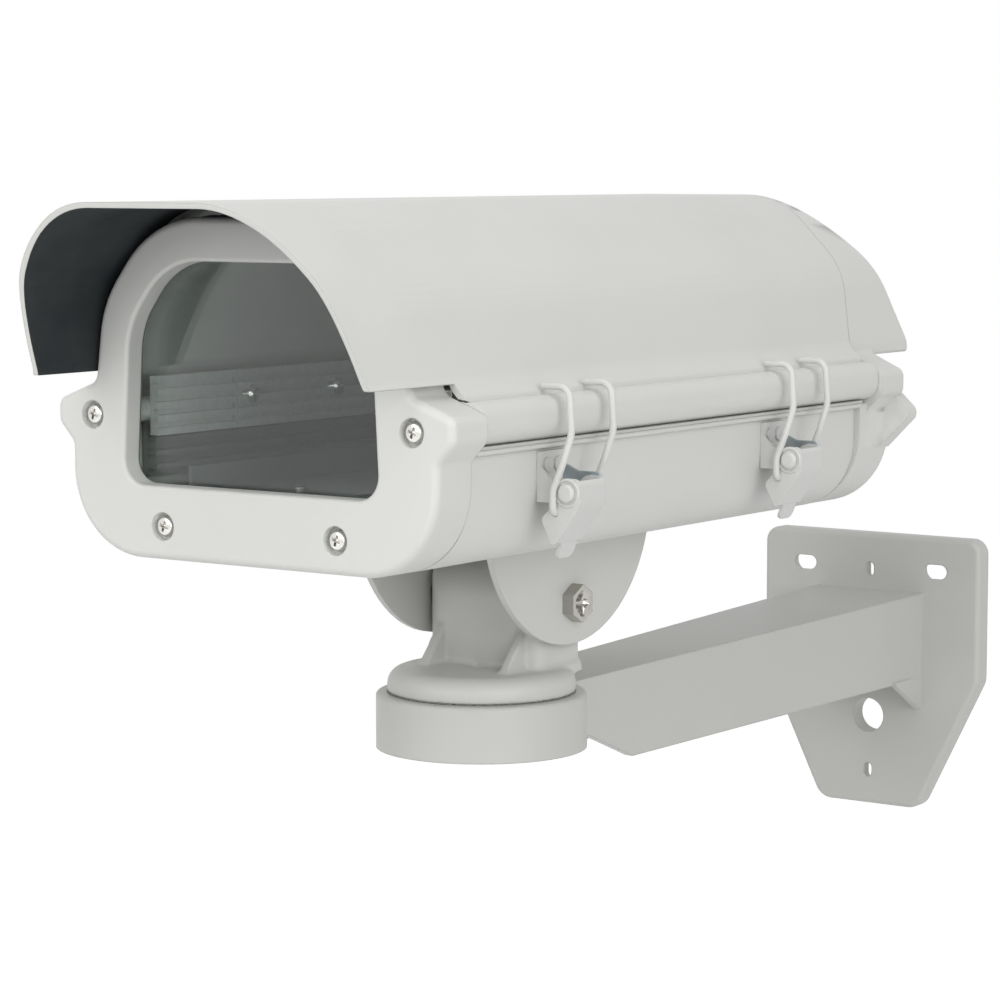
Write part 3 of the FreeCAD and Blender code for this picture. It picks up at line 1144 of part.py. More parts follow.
def tray():
    """Folded plate that the camera is bolted to, screwed down on its posts."""
    body = new_body("camera_tray")
    start = SHELL_FRONT + size("tray_start")
    z = size("tray_level")
    gauge = size("tray_gauge")
    wide = half("tray_width")
    top = z + size("tray_side")
    section = new_sketch(body, "Section", "XZ", "%r" % -start)
    draw(section, closed([(wide - gauge, z + gauge, 1.0), (wide - gauge, top, 0), (wide, top, 0), (wide, z, 0)]))
    pad(body, section, "Tray", "Sizes.tray_length", True)
    slot = new_sketch(body, "CameraSlot", "XY", "Sizes.tray_level")
    front = start + size("tray_post_inset")
    rear = front + size("tray_slot_length")
    draw(slot, box_outline(-half("tray_slot"), half("tray_slot"), front, rear, half("tray_slot") - 0.001))
    for x, y in tray_post_places():
        draw_circle(slot, x, y, "Sizes.tray_screw / 2 + Sizes.fit")
    pocket(body, slot, "Slot", "Sizes.tray_gauge", True)
    screws = []
    for x, y in tray_post_places():
        head = rod(size("tray_screw") * 0.9, size("tray_screw") * 0.6, (x, y, z + gauge + 0.02), (0, 0, 1))
        shank = rod(half("tray_screw"), size("tray_screw_length"), (x, y, z + gauge + 0.03), (0, 0, -1))
        screws.append(head.fuse(shank).removeSplitter())
    keep(Part.makeCompound(screws), "tray_screws")


wall_arm()
pan_head()
pan_bolt()
tilt_bracket()
bracket_screws()
tilt_fasteners()
lower_shell()
upper_shell()
seals()
front_cover()
glass()
cover_screws("front_screws", FACE + size("counterbore_depth"), 1, size("screw_length"))
shell_gasket("front_gasket", COVER_BACK + 0.05)
shell_gasket("rear_gasket", SHELL_BACK + 0.05)
rear_cover()
cover_screws("rear_screws", -size("rear_back") - size("counterbore_depth"), -1, size("rear_screw_length"))
glands()
for place, begin in latch_starts():
    lever(place, begin)
    latch_base(place, begin)
    latch_pivot(place, begin)
    bail(place, begin)
latch_rivets()
hinge_rod()
rails()
tray()


# Checks and files

def check_document():
    """Stops on a failed object or an empty or invalid piece."""
    doc.recompute()
    faults = []
    for item in doc.Objects:
        if "Invalid" in item.State or "Error" in item.State:
            faults.append(item.Label + " failed: " + item.getStatusString())
    for part in parts:
        if part.Shape.isNull() or not part.Shape.isValid():
            faults.append(part.Label + " has no valid shape")
    if faults:
        raise RuntimeError("; ".join(faults))


def write_files():
    os.makedirs("parts", exist_ok=True)
    for part in parts:
        part.Shape.exportStep(os.path.join("parts", part.Label + ".step"))


check_document()
write_files()
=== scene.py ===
"""Finish of the security camera housing: powder coat, glass, plated screws and latches."""
import json
from math import cos, exp, pi, radians, sin, sqrt, tau

import bmesh
import bpy
from mathutils import Matrix, Vector


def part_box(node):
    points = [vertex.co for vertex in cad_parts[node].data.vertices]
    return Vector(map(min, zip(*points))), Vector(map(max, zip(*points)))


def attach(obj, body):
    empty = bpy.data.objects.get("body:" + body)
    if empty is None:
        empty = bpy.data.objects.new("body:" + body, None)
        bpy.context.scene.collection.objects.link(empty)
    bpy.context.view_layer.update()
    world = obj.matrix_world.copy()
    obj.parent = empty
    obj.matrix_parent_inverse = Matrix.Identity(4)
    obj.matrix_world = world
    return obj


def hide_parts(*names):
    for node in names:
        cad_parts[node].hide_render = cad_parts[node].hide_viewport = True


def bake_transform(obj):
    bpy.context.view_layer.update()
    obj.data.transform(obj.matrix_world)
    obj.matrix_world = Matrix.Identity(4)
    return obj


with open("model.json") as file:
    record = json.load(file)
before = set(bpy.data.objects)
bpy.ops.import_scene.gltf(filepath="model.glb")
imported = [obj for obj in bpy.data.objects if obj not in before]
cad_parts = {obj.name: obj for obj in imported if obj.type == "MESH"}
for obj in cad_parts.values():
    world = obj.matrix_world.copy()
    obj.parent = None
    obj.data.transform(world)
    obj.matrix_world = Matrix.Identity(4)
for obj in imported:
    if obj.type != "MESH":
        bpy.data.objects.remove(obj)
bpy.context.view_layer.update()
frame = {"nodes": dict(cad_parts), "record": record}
MM = 0.001


# Camera, at the photograph's angle
# It looks down a little at the front and at the latch side.

camera_place = Vector((0.7249, -1.3469, 0.2375))
camera_turn = 35.02
camera_fall = 5.946
camera_lens = 116.5
lens = bpy.data.cameras.new("PhotoCamera")
lens.lens = camera_lens
lens.sensor_width = 36.0
lens.sensor_fit = "HORIZONTAL"
photo_camera = bpy.data.objects.new("PhotoCamera", lens)
bpy.context.scene.collection.objects.link(photo_camera)
photo_camera.location = camera_place
photo_camera.rotation_euler = (radians(90 - camera_fall), 0, radians(camera_turn))
bpy.context.scene.camera = photo_camera


# Wall arm
# One aluminium casting: wall plate, tapered channel and round cup.
# Its coat is coloured darker than the housing's, and its edges are rounded by the mould.

def effect_group(name, inputs, outputs):
    """Empty shader group with its named sockets; it returns the tree and its two end nodes."""
    tree = bpy.data.node_groups.new(name, "ShaderNodeTree")
    for label, kind, value in inputs:
        socket = tree.interface.new_socket(label, in_out="INPUT", socket_type=kind)
        if kind != "NodeSocketVector":
            socket.default_value = value
    for label, kind in outputs:
        tree.interface.new_socket(label, in_out="OUTPUT", socket_type=kind)
    return tree, tree.nodes.new("NodeGroupInput"), tree.nodes.new("NodeGroupOutput")


def add_node(tree, kind, **values):
    """Node with its inputs set by name; a value that is a socket is linked."""
    node = tree.nodes.new(kind)
    for label, value in values.items():
        socket = node.inputs[label.replace("_", " ")]
        if isinstance(value, bpy.types.NodeSocket):
            tree.links.new(value, socket)
        else:
            socket.default_value = value
    return node


def blended(tree, factor, first, second, mode="MIX"):
    """Colour mix of two sockets or colours."""
    node = tree.nodes.new("ShaderNodeMix")
    node.data_type = "RGBA"
    node.blend_type = mode
    for index, value in ((0, factor), (6, first), (7, second)):
        if isinstance(value, bpy.types.NodeSocket):
            tree.links.new(value, node.inputs[index])
        else:
            node.inputs[index].default_value = value
    return node.outputs[2]


def mapped(tree, value, low, high, to_low, to_high):
    """Value moved from one range to another, held at its ends."""
    node = tree.nodes.new("ShaderNodeMapRange")
    tree.links.new(value, node.inputs["Value"])
    for label, number in (("From Min", low), ("From Max", high), ("To Min", to_low), ("To Max", to_high)):
        socket = node.inputs[label]
        if isinstance(number, bpy.types.NodeSocket):
            tree.links.new(number, socket)
        else:
            socket.default_value = number
    return node.outputs["Result"]


def powder_effect():
    """Orange peel and faint clouding of a baked powder coat."""
    tree, given, out = effect_group(
        "PowderCoat",
        [("Coordinates", "NodeSocketVector", None), ("Colour", "NodeSocketColor", (0.7, 0.7, 0.68, 1)),
         ("Roughness", "NodeSocketFloat", 0.45), ("Clouding", "NodeSocketFloat", 0.03),
         ("Peel Size", "NodeSocketFloat", 0.9)],
        [("Colour", "NodeSocketColor"), ("Roughness", "NodeSocketFloat"), ("Height", "NodeSocketFloat")])
    place = given.outputs["Coordinates"]
    cloud = add_node(tree, "ShaderNodeTexNoise", Vector=place, Scale=14.0, Detail=4.0, Roughness=0.6)
    shade = mapped(tree, cloud.outputs["Fac"], 0.3, 0.7, 0.0, given.outputs["Clouding"])
    colour = blended(tree, shade, given.outputs["Colour"], (0.42, 0.42, 0.38, 1))
    step = tree.nodes.new("ShaderNodeMath")
    step.operation = "DIVIDE"
    step.inputs[0].default_value = 1000.0
    tree.links.new(given.outputs["Peel Size"], step.inputs[1])
    peel = add_node(tree, "ShaderNodeTexNoise", Vector=place, Scale=step.outputs[0], Detail=2.0, Roughness=0.5)
    haze = tree.nodes.new("ShaderNodeMath")
    haze.operation = "MULTIPLY_ADD"
    tree.links.new(cloud.outputs["Fac"], haze.inputs[0])
    haze.inputs[1].default_value = 0.08
    tree.links.new(given.outputs["Roughness"], haze.inputs[2])
    tree.links.new(colour, out.inputs["Colour"])
    tree.links.new(haze.outputs[0], out.inputs["Roughness"])
    tree.links.new(peel.outputs["Fac"], out.inputs["Height"])
    return tree


powder_coat = powder_effect()


def new_material(name):
    """Material with one empty Principled shader, and the Object coordinates that it reads."""
    material = bpy.data.materials.new(name)
    material.use_nodes = True
    tree = material.node_tree
    shader = tree.nodes["Principled BSDF"]
    place = tree.nodes.new("ShaderNodeTexCoord").outputs["Object"]
    return material, tree, shader, place


def bumped(tree, shader, height, distance, edge=0.0):
    """Bump from a height, over corners that catch the light as a small radius would."""
    bump = add_node(tree, "ShaderNodeBump", Distance=distance, Height=height)
    if edge:
        soft = tree.nodes.new("ShaderNodeBevel")
        soft.samples = 4
        soft.inputs["Radius"].default_value = edge
        tree.links.new(soft.outputs["Normal"], bump.inputs["Normal"])
    tree.links.new(bump.outputs["Normal"], shader.inputs["Normal"])


def coated(name, colour, roughness=0.42, clouding=0.08, peel=0.9, depth=0.00002, edge=0.0006):
    """Powder-coated metal."""
    material, tree, shader, place = new_material(name)
    effect = tree.nodes.new("ShaderNodeGroup")
    effect.node_tree = powder_coat
    tree.links.new(place, effect.inputs["Coordinates"])
    effect.inputs["Colour"].default_value = (*colour, 1)
    effect.inputs["Roughness"].default_value = roughness
    effect.inputs["Clouding"].default_value = clouding
    effect.inputs["Peel Size"].default_value = peel
    tree.links.new(effect.outputs["Colour"], shader.inputs["Base Color"])
    tree.links.new(effect.outputs["Roughness"], shader.inputs["Roughness"])
    bumped(tree, shader, effect.outputs["Height"], depth, edge)
    return material


def loose_copy(node):
    """Copy of a CAD piece's mesh, its doubled corners merged, open for edits."""
    mesh = frame["nodes"][node].data.copy()
    mesh.materials.clear()
    build = bmesh.new()
    build.from_mesh(mesh)
    bmesh.ops.remove_doubles(build, verts=build.verts, dist=1e-6)
    return mesh, build


def flattened(build):
    """Joins the triangles of each flat face."""
    bmesh.ops.dissolve_limit(build, angle_limit=radians(0.6), verts=build.verts, edges=build.edges)


def closed_mesh(mesh, build):
    build.to_mesh(mesh)
    build.free()
    return mesh


def merged(node):
    """Copy of a CAD piece's mesh with its triangles joined into flat faces."""
    mesh, build = loose_copy(node)
    flattened(build)
    return closed_mesh(mesh, build)


def result_of(piece):
    """Plain mesh of an object with its modifiers applied; the object goes."""
    whole = bpy.data.meshes.new_from_object(piece.evaluated_get(bpy.context.evaluated_depsgraph_get()))
    bpy.data.objects.remove(piece)
    return whole


def worked(mesh):
    """Object for a mesh while modifiers are put on it."""
    piece = bpy.data.objects.new("work", mesh)
    bpy.context.scene.collection.objects.link(piece)
    return piece


def smoothed(mesh, angle):
    """Curves shaded smooth, corners kept sharp, flat faces kept flat."""
    mesh.shade_smooth()
    mesh.set_sharp_from_angle(angle=radians(angle))
    piece = worked(mesh)
    weigh = piece.modifiers.new("FlatFaces", "WEIGHTED_NORMAL")
    weigh.keep_sharp = True
    return result_of(piece)


def finished(name, mesh, body, slot, *replaced, angle=28.0):
    """Piece made from a mesh: it rides on a body and stands for CAD nodes."""
    piece = bpy.data.objects.new(name, smoothed(mesh, angle))
    bpy.context.scene.collection.objects.link(piece)
    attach(piece, body)
    if replaced:
        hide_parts(*replaced)
    return piece


def dressed(node, name, body, slot, material, angle=28.0):
    """CAD piece with smooth curves and its finish."""
    mesh = merged(node)
    mesh.materials.append(material)
    return finished(name, mesh, body, slot, node, angle=angle)


arm_edge = 3.2 * MM
arm_coat = coated("ArmCoat", (0.55, 0.555, 0.53), edge=0.0010)
arm_mesh, arm_build = loose_copy("wall_arm")
flattened(arm_build)
long_edges = []
for edge in arm_build.edges:
    run = abs(edge.verts[0].co.y - edge.verts[1].co.y)
    normals = [face.normal for face in edge.link_faces]
    top = any(normal.z > 0.8 for normal in normals)
    flank = any(abs(normal.x) > 0.8 for normal in normals)
    if run > 0.1 and top and flank and edge.calc_face_angle_signed() > 0:
        long_edges.append(edge)
bmesh.ops.bevel(arm_build, geom=long_edges, offset=arm_edge, segments=5, profile=0.5, affect="EDGES",
                clamp_overlap=True)
slot_level = [mount["pos_m"][2] for mount in frame["record"]["mounts"] if mount["name"] == "wall_slots"][0]
slot_half, slot_reach, slot_taper = 34.5 * MM, 7.0 * MM, 0.6
pilot_levels, pilot_reach, pilot_taper = (47.5 * MM, -48.2 * MM), 4.0 * MM, 1.0
tapered_holes = [(Vector((side * slot_half, 0, slot_level)), slot_reach, slot_taper) for side in (-1, 1)]
tapered_holes += [(Vector((0, 0, level)), pilot_reach, pilot_taper) for level in pilot_levels]
for vert in arm_build.verts:
    for centre, reach, taper in tapered_holes:
        if vert.co.y > -0.1 * MM and (vert.co - centre).length < reach:
            vert.co += (vert.co - centre) * taper
arm_mesh = closed_mesh(arm_mesh, arm_build)
arm_mesh.materials.append(arm_coat)
finished("wall_arm_casting", arm_mesh, "wall_bracket", "cast_paint", "wall_arm")


# Pan head
# Post and round disc cast in one piece. The disc has a full round rim and the post's sides flare
# into it; both are soft from the mould.

head_coat = coated("HeadCoat", (0.60, 0.605, 0.58), edge=0.0)
head_low, head_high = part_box("pan_head")
disc_radius = (head_high.x - head_low.x) / 2
disc_bottom = head_low.z
disc_height = 9.5 * MM
disc_round = 6.5 * MM
flare = 3.2 * MM
pan_middle = Vector((0, head_low.y + disc_radius, 0))
thread_radius = 4.06 * MM


def turned(profile, steps=48):
    """Closed form turned about Z from (radius, height) pairs; a radius of 0 is a point on the axis."""
    build = bmesh.new()
    rings = []
    for radius, height in profile:
        if radius < 1e-9:
            rings.append([build.verts.new((0, 0, height))] * steps)
        else:
            turns = [tau * step / steps for step in range(steps)]
            rings.append([build.verts.new((radius * cos(turn), radius * sin(turn), height)) for turn in turns])
    for low, high in zip(rings, rings[1:]):
        for step in range(steps):
            after = (step + 1) % steps
            corners = []
            for vert in (low[step], low[after], high[after], high[step]):
                if vert not in corners:
                    corners.append(vert)
            build.faces.new(corners)
    if rings[0][0] != rings[-1][0] and profile[0] == profile[-1]:
        bmesh.ops.remove_doubles(build, verts=build.verts, dist=1e-7)
    bmesh.ops.recalc_face_normals(build, faces=build.faces)
    return closed_mesh(bpy.data.meshes.new("turned"), build)


def quarter(centre, radius, start, stop, steps=6):
    """Points of an arc in a turned profile, in degrees from the radius."""
    turns = [radians(start + (stop - start) * step / steps) for step in range(steps + 1)]
    return [(centre[0] + radius * cos(turn), centre[1] + radius * sin(turn)) for turn in turns]


def sliced(build, levels, axis=(0, 0, 1)):
    """Cuts the faces at levels along an axis, so that they can bend there."""
    for level in levels:
        geometry = build.verts[:] + build.edges[:] + build.faces[:]
        bmesh.ops.bisect_plane(build, geom=geometry, plane_co=Vector(axis) * level, plane_no=axis)


def joined(*meshes):
    build = bmesh.new()
    for mesh in meshes:
        build.from_mesh(mesh)
    return closed_mesh(bpy.data.meshes.new("joined"), build)


def soft_cast(mesh, voxel, turns):
    """Overlapping forms fused into one skin whose corners are rounded as a mould rounds them."""
    piece = worked(mesh)
    skin = piece.modifiers.new("Skin", "REMESH")
    skin.mode = "VOXEL"
    skin.voxel_size = voxel
    ease = piece.modifiers.new("Soft", "SMOOTH")
    ease.factor = 0.5
    ease.iterations = turns
    return result_of(piece)


disc_top = disc_bottom + disc_height
rim = quarter((disc_radius - disc_round, disc_top - disc_round), disc_round, 0, 90)
disc_profile = [(thread_radius, disc_bottom), (disc_radius, disc_bottom)] + rim
disc_profile += [(thread_radius, disc_top), (thread_radius, disc_bottom)]
disc_mesh = turned(disc_profile, 96)
disc_mesh.transform(Matrix.Translation(pan_middle))
post_mesh, post_build = loose_copy("pan_head")
post_start = disc_top + 0.2 * MM
post_sink = 3.0 * MM
bmesh.ops.bisect_plane(post_build, geom=post_build.verts[:] + post_build.edges[:] + post_build.faces[:],
                       plane_co=(0, 0, post_start), plane_no=(0, 0, 1), clear_inner=True)
open_edges = [edge for edge in post_build.edges if edge.is_boundary]
bmesh.ops.triangle_fill(post_build, use_beauty=True, edges=open_edges)
sliced(post_build, [disc_top + (step + 0.5) * MM for step in range(7)])
post_width = 27.0 * MM
for vert in post_build.verts:
    rise = min(max(vert.co.z - disc_top, 0.0), flare)
    spread = flare - sqrt(flare ** 2 - (flare - rise) ** 2)
    if abs(vert.co.x) > post_width - 7.0 * MM:
        vert.co.x += spread * (1 if vert.co.x > 0 else -1)
    if vert.co.z < disc_top + 0.3 * MM:
        vert.co.z -= post_sink
post_mesh = closed_mesh(post_mesh, post_build)
head_mesh = soft_cast(joined(disc_mesh, post_mesh), 0.8 * MM, 3)
head_mesh.materials.clear()
head_mesh.materials.append(head_coat)
finished("pan_head_casting", head_mesh, "pan_head_body", "cast_paint", "pan_head", angle=60.0)


# Pan joint
# The disc sits on fine radial teeth; the row of dark dashes along the seam is painted shade, dark blocks set where
# the gaps between the teeth fall in shade.

def place_tree(name, inputs):
    """Empty Geometry Nodes tree with a geometry in and out and its named inputs."""
    tree = bpy.data.node_groups.new(name, "GeometryNodeTree")
    tree.interface.new_socket("Geometry", in_out="INPUT", socket_type="NodeSocketGeometry")
    for label, kind in inputs:
        tree.interface.new_socket(label, in_out="INPUT", socket_type=kind)
    tree.interface.new_socket("Geometry", in_out="OUTPUT", socket_type="NodeSocketGeometry")
    return tree, tree.nodes.new("NodeGroupInput"), tree.nodes.new("NodeGroupOutput")


def close_tree(tree, given, out, instances):
    """Ends a tree: its instances become one mesh with its finish."""
    real = tree.nodes.new("GeometryNodeRealizeInstances")
    paint = tree.nodes.new("GeometryNodeSetMaterial")
    tree.links.new(instances, real.inputs["Geometry"])
    tree.links.new(real.outputs["Geometry"], paint.inputs["Geometry"])
    tree.links.new(given.outputs["Finish"], paint.inputs["Material"])
    tree.links.new(paint.outputs["Geometry"], out.inputs["Geometry"])


def teeth_tree():
    """Ring of small blocks about Z, each turned to face outwards."""
    tree, given, out = place_tree("RingOfTeeth", [("Count", "NodeSocketInt"), ("Radius", "NodeSocketFloat"),
                                                  ("Tooth", "NodeSocketVector"), ("Finish", "NodeSocketMaterial")])
    circle = tree.nodes.new("GeometryNodeMeshCircle")
    block = tree.nodes.new("GeometryNodeMeshCube")
    here = tree.nodes.new("GeometryNodeInputPosition")
    facing = tree.nodes.new("FunctionNodeAlignRotationToVector")
    facing.axis = "X"
    facing.pivot_axis = "Z"
    copies = tree.nodes.new("GeometryNodeInstanceOnPoints")
    tree.links.new(given.outputs["Count"], circle.inputs["Vertices"])
    tree.links.new(given.outputs["Radius"], circle.inputs["Radius"])
    tree.links.new(given.outputs["Tooth"], block.inputs["Size"])
    tree.links.new(here.outputs["Position"], facing.inputs["Vector"])
    tree.links.new(circle.outputs["Mesh"], copies.inputs["Points"])
    tree.links.new(block.outputs["Mesh"], copies.inputs["Instance"])
    tree.links.new(facing.outputs["Rotation"], copies.inputs["Rotation"])
    close_tree(tree, given, out, copies.outputs["Instances"])
    return tree


def grown(mesh, tree, **values):
    """Plain mesh that a Geometry Nodes tree makes from a mesh and its named inputs."""
    piece = worked(mesh)
    growth = piece.modifiers.new("Growth", "NODES")
    growth.node_group = tree
    for item in tree.interface.items_tree:
        label = item.name.replace(" ", "_")
        if item.in_out == "INPUT" and label in values:
            growth[item.identifier] = values[label]
    return result_of(piece)


def moulded(name, colour, roughness=0.5):
    material, tree, shader, place = new_material(name)
    grain = add_node(tree, "ShaderNodeTexNoise", Vector=place, Scale=900.0, Detail=2.0)
    tint = blended(tree, grain.outputs["Fac"], (*colour, 1), (*[part * 0.8 for part in colour], 1))
    tree.links.new(tint, shader.inputs["Base Color"])
    shader.inputs["Roughness"].default_value = roughness
    bumped(tree, shader, grain.outputs["Fac"], 0.00002)
    return material


teeth = teeth_tree()
joint_shadow = moulded("JointShadow", (0.30, 0.30, 0.28), 0.8)
# Dark dashes round the seam: painted shade of the gaps between the teeth.
dash_count = 58
dash_mesh = grown(bpy.data.meshes.new("dashes"), teeth, Count=dash_count, Radius=disc_radius - 0.1 * MM,
                  Tooth=(0.3 * MM, 2.6 * MM, 0.3 * MM), Finish=joint_shadow)
dash_mesh.transform(Matrix.Translation(pan_middle + Vector((0, 0, disc_bottom + 0.05 * MM))))
finished("pan_joint_teeth", dash_mesh, "pan_head_body", "cast_paint")


# Plated fasteners
# Bright zinc on steel, with a little tarnish in faint random clouds.

def plated(name, colour, roughness=0.2, metallic=1.0, edge=0.0003):
    material, tree, shader, place = new_material(name)
    cloud = add_node(tree, "ShaderNodeTexNoise", Vector=place, Scale=400.0, Detail=3.0)
    tint = blended(tree, cloud.outputs["Fac"], (*colour, 1), (*[part * 0.8 for part in colour], 1))
    tree.links.new(tint, shader.inputs["Base Color"])
    tree.links.new(mapped(tree, cloud.outputs["Fac"], 0.3, 0.7, roughness * 0.7, roughness * 1.4),
                   shader.inputs["Roughness"])
    shader.inputs["Metallic"].default_value = metallic
    bumped(tree, shader, cloud.outputs["Fac"], 0.00001, edge)
    return material


bright_zinc = plated("BrightZinc", (0.80, 0.79, 0.76))
for node, body in (("pan_bolt", "pan_head_body"), ("pan_washer", "pan_head_body"), ("bracket_screws", "housing"),
                   ("bracket_nuts", "housing"), ("tilt_nut", "housing"), ("tilt_nut_washer", "housing"),
                   ("clip_screws", "housing"), ("glass_clips", "housing"), ("tray_screws", "housing"),
                   ("hinge_rod", "housing")):
    dressed(node, node + "_plated", body, "plated_steel", bright_zinc)


# Tilt bolt
# Hexagon head with a dished top and a cross recess that reaches its rim, bright zinc plated.

def cross_cutter(length, width, depth, top):
    """Tapered cross that sinks a driver recess from a level along -Z."""
    build = bmesh.new()
    for turn in (0, pi / 2):
        bar = bmesh.ops.create_cube(build, size=1.0)["verts"]
        for vert in bar:
            low = vert.co.z < 0
            shrink = 0.55 if low else 1.0
            vert.co = Vector((vert.co.x * length * shrink, vert.co.y * width * (0.8 if low else 1.0),
                              top - depth if low else top + depth * 0.1))
        bmesh.ops.rotate(build, verts=bar, cent=(0, 0, 0), matrix=Matrix.Rotation(turn, 3, "Z"))
    return closed_mesh(bpy.data.meshes.new("cross"), build)


def carved(mesh, *cutters):
    """Mesh with other meshes cut out of it."""
    piece = worked(mesh)
    tools = []
    for cutter in cutters:
        tool = worked(cutter)
        tools.append(tool)
        cut = piece.modifiers.new("Cut", "BOOLEAN")
        cut.operation = "DIFFERENCE"
        cut.solver = "EXACT"
        cut.use_self = True
        cut.object = tool
    whole = result_of(piece)
    for tool in tools:
        bpy.data.objects.remove(tool)
    return whole


def facing(direction, place):
    """Matrix that turns a form made along Z to a direction, at a place."""
    return Matrix.Translation(place) @ Vector(direction).to_track_quat("Z", "Y").to_matrix().to_4x4()


bolt_low, bolt_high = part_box("tilt_bolt")
bolt_axis = Vector((0, (bolt_low.y + bolt_high.y) / 2, (bolt_low.z + bolt_high.z) / 2))
bolt_mesh = merged("tilt_bolt")
recess = cross_cutter(10.4 * MM, 2.1 * MM, 2.6 * MM, 0)
recess.transform(facing((1, 0, 0), Vector((bolt_high.x, bolt_axis.y, bolt_axis.z))))
dish = turned([(0, -0.9 * MM), (4.4 * MM, -0.7 * MM), (5.6 * MM, 0.3 * MM), (0, 0.3 * MM)], 40)
dish.transform(facing((1, 0, 0), Vector((bolt_high.x, bolt_axis.y, bolt_axis.z))))
bolt_mesh = carved(bolt_mesh, dish, recess)
bolt_mesh.materials.clear()
bolt_mesh.materials.append(plated("BrightNickel", (0.50, 0.485, 0.45), 0.16, edge=0.0006))
finished("tilt_bolt_plated", bolt_mesh, "housing", "plated_steel", "tilt_bolt")


# Tilt bracket
# Folded steel sheet with round cheeks, coated like the housing.

housing_coat = coated("HousingCoat", (0.655, 0.66, 0.635), edge=0.0008)
bracket_coat = coated("BracketCoat", (0.60, 0.605, 0.58), edge=0.0006)
dressed("tilt_bracket", "tilt_bracket_sheet", "housing", "sheet_paint", bracket_coat)


# Friction washers
# Grey plastic rings between the cheeks and the post.

washer_plastic = moulded("WasherPlastic", (0.10, 0.10, 0.095))
dressed("tilt_friction_washers", "friction_rings", "pan_head_body", "plastic", washer_plastic)


# Housing shells and covers
# The lower shell is extruded and the covers are cast.

dressed("lower_shell", "lower_shell_extrusion", "housing", "cast_paint", housing_coat)
dressed("front_cover", "front_cover_casting", "housing", "cast_paint", housing_coat)
dressed("rear_cover", "rear_cover_casting", "housing", "cast_paint", housing_coat)


# Upper shell
# Extrusion that is hood and lid in one: coated outside, with its inner faces under the hood coloured near black.
# A narrow groove runs above the latch side's bead, where the wire bails hook in, and that bead reaches
# forward to the front cover's ear. Ahead of the cover the hood's section grows rounder.

waist_level = 161.9 * MM
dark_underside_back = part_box("hood_seal")[0].y
groove_level = 156.8 * MM
groove_half = 0.7 * MM
groove_depth = 1.4 * MM
bead_gap = 0.3 * MM
arch_step, arch_slices = 3.0 * MM, 20
arch_full, arch_full_level, arch_full_spread = 0.030, 208.5 * MM, 8.0 * MM
arch_thin, arch_thin_level, arch_thin_spread = 0.016, 189.0 * MM, 10.0 * MM
arch_run, arch_cuts = 30.0 * MM, 6
cover_face, cover_back = (corner.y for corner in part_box("front_cover"))
hood_mesh, hood_build = loose_copy("upper_shell")
flattened(hood_build)
sliced(hood_build, [dark_underside_back], (0, 1, 0))
sliced(hood_build, [cover_face - arch_run * step / arch_cuts for step in range(arch_cuts + 1)], (0, 1, 0))
sliced(hood_build, [waist_level + arch_step * (step + 0.7) for step in range(arch_slices)])
sliced(hood_build, [groove_level + step * groove_half for step in (-1, 0, 1)])
bead_start = min(vert.co.y for vert in hood_build.verts if vert.co.x > 84 * MM)
bead_front = cover_back + bead_gap
for vert in hood_build.verts:
    ahead = min(max((cover_face - vert.co.y) / arch_run, 0.0), 1.0)
    full = arch_full * exp(-((vert.co.z - arch_full_level) / arch_full_spread) ** 2)
    thin = arch_thin * exp(-((vert.co.z - arch_thin_level) / arch_thin_spread) ** 2)
    vert.co.x *= 1 + ahead ** 2 * (3 - 2 * ahead) * (full - thin)
    if vert.co.x > 80.6 * MM and abs(vert.co.z - groove_level) < 0.1 * groove_half:
        vert.co += Vector((-0.64, 0, -0.77)) * groove_depth
    low_edge = vert.co.x > 72 * MM and vert.co.z < waist_level + 1 * MM
    if low_edge and abs(vert.co.y - bead_start) < 0.05 * MM:
        vert.co.y = bead_front
hood_mesh = closed_mesh(hood_mesh, hood_build)
hood_mesh.materials.append(housing_coat)
hood_underside_dark = coated("HoodUndersideDark", (0.018, 0.024, 0.029), roughness=0.7, edge=0.0)
hood_underside_dark.node_tree.nodes["Principled BSDF"].inputs["Specular IOR Level"].default_value = 0.15
hood_mesh.materials.append(hood_underside_dark)
for face in hood_mesh.polygons:
    inward = Vector((-face.center.x, 0, 0.170 - face.center.z))
    under_hood = face.center.z > waist_level and face.center.y < dark_underside_back
    if under_hood and abs(face.normal.y) < 0.5 and face.normal.dot(inward) > 0:
        face.material_index = 1
finished("upper_shell_extrusion", hood_mesh, "cover", "cast_paint", "upper_shell")


# Rubber seals and gaskets
# Foam strips under the lid and gaskets behind the covers are coloured the coat's pale grey: painted light, so that
# the gaps at the seams show no dark line. The seal under the hood and the one round the glass are darker.

# Pale grey on the lid strips and cover gaskets is painted light that lightens the seam gaps.
seal_rubber_painted_light = moulded("SealRubberPaintedLight", (0.58, 0.585, 0.56), 0.75)
grey_rubber = moulded("GreyRubber", (0.16, 0.16, 0.155), 0.7)
for node, rubber in (("front_gasket", seal_rubber_painted_light), ("rear_gasket", seal_rubber_painted_light), ("hinge_side_seal", seal_rubber_painted_light),
                     ("hood_seal", grey_rubber), ("glass_gasket", grey_rubber)):
    dressed(node, node + "_strip", "housing", "rubber", rubber)
seal_bulge = 1.4 * MM
seal_mesh = merged("latch_side_seal")
seal_mesh.materials.append(seal_rubber_painted_light)
for vert in seal_mesh.vertices:
    if vert.co.x > 83 * MM:
        vert.co.x += seal_bulge
finished("latch_side_seal_strip", seal_mesh, "housing", "rubber", "latch_side_seal")


# Window glass
# Flat pane behind the front cover.

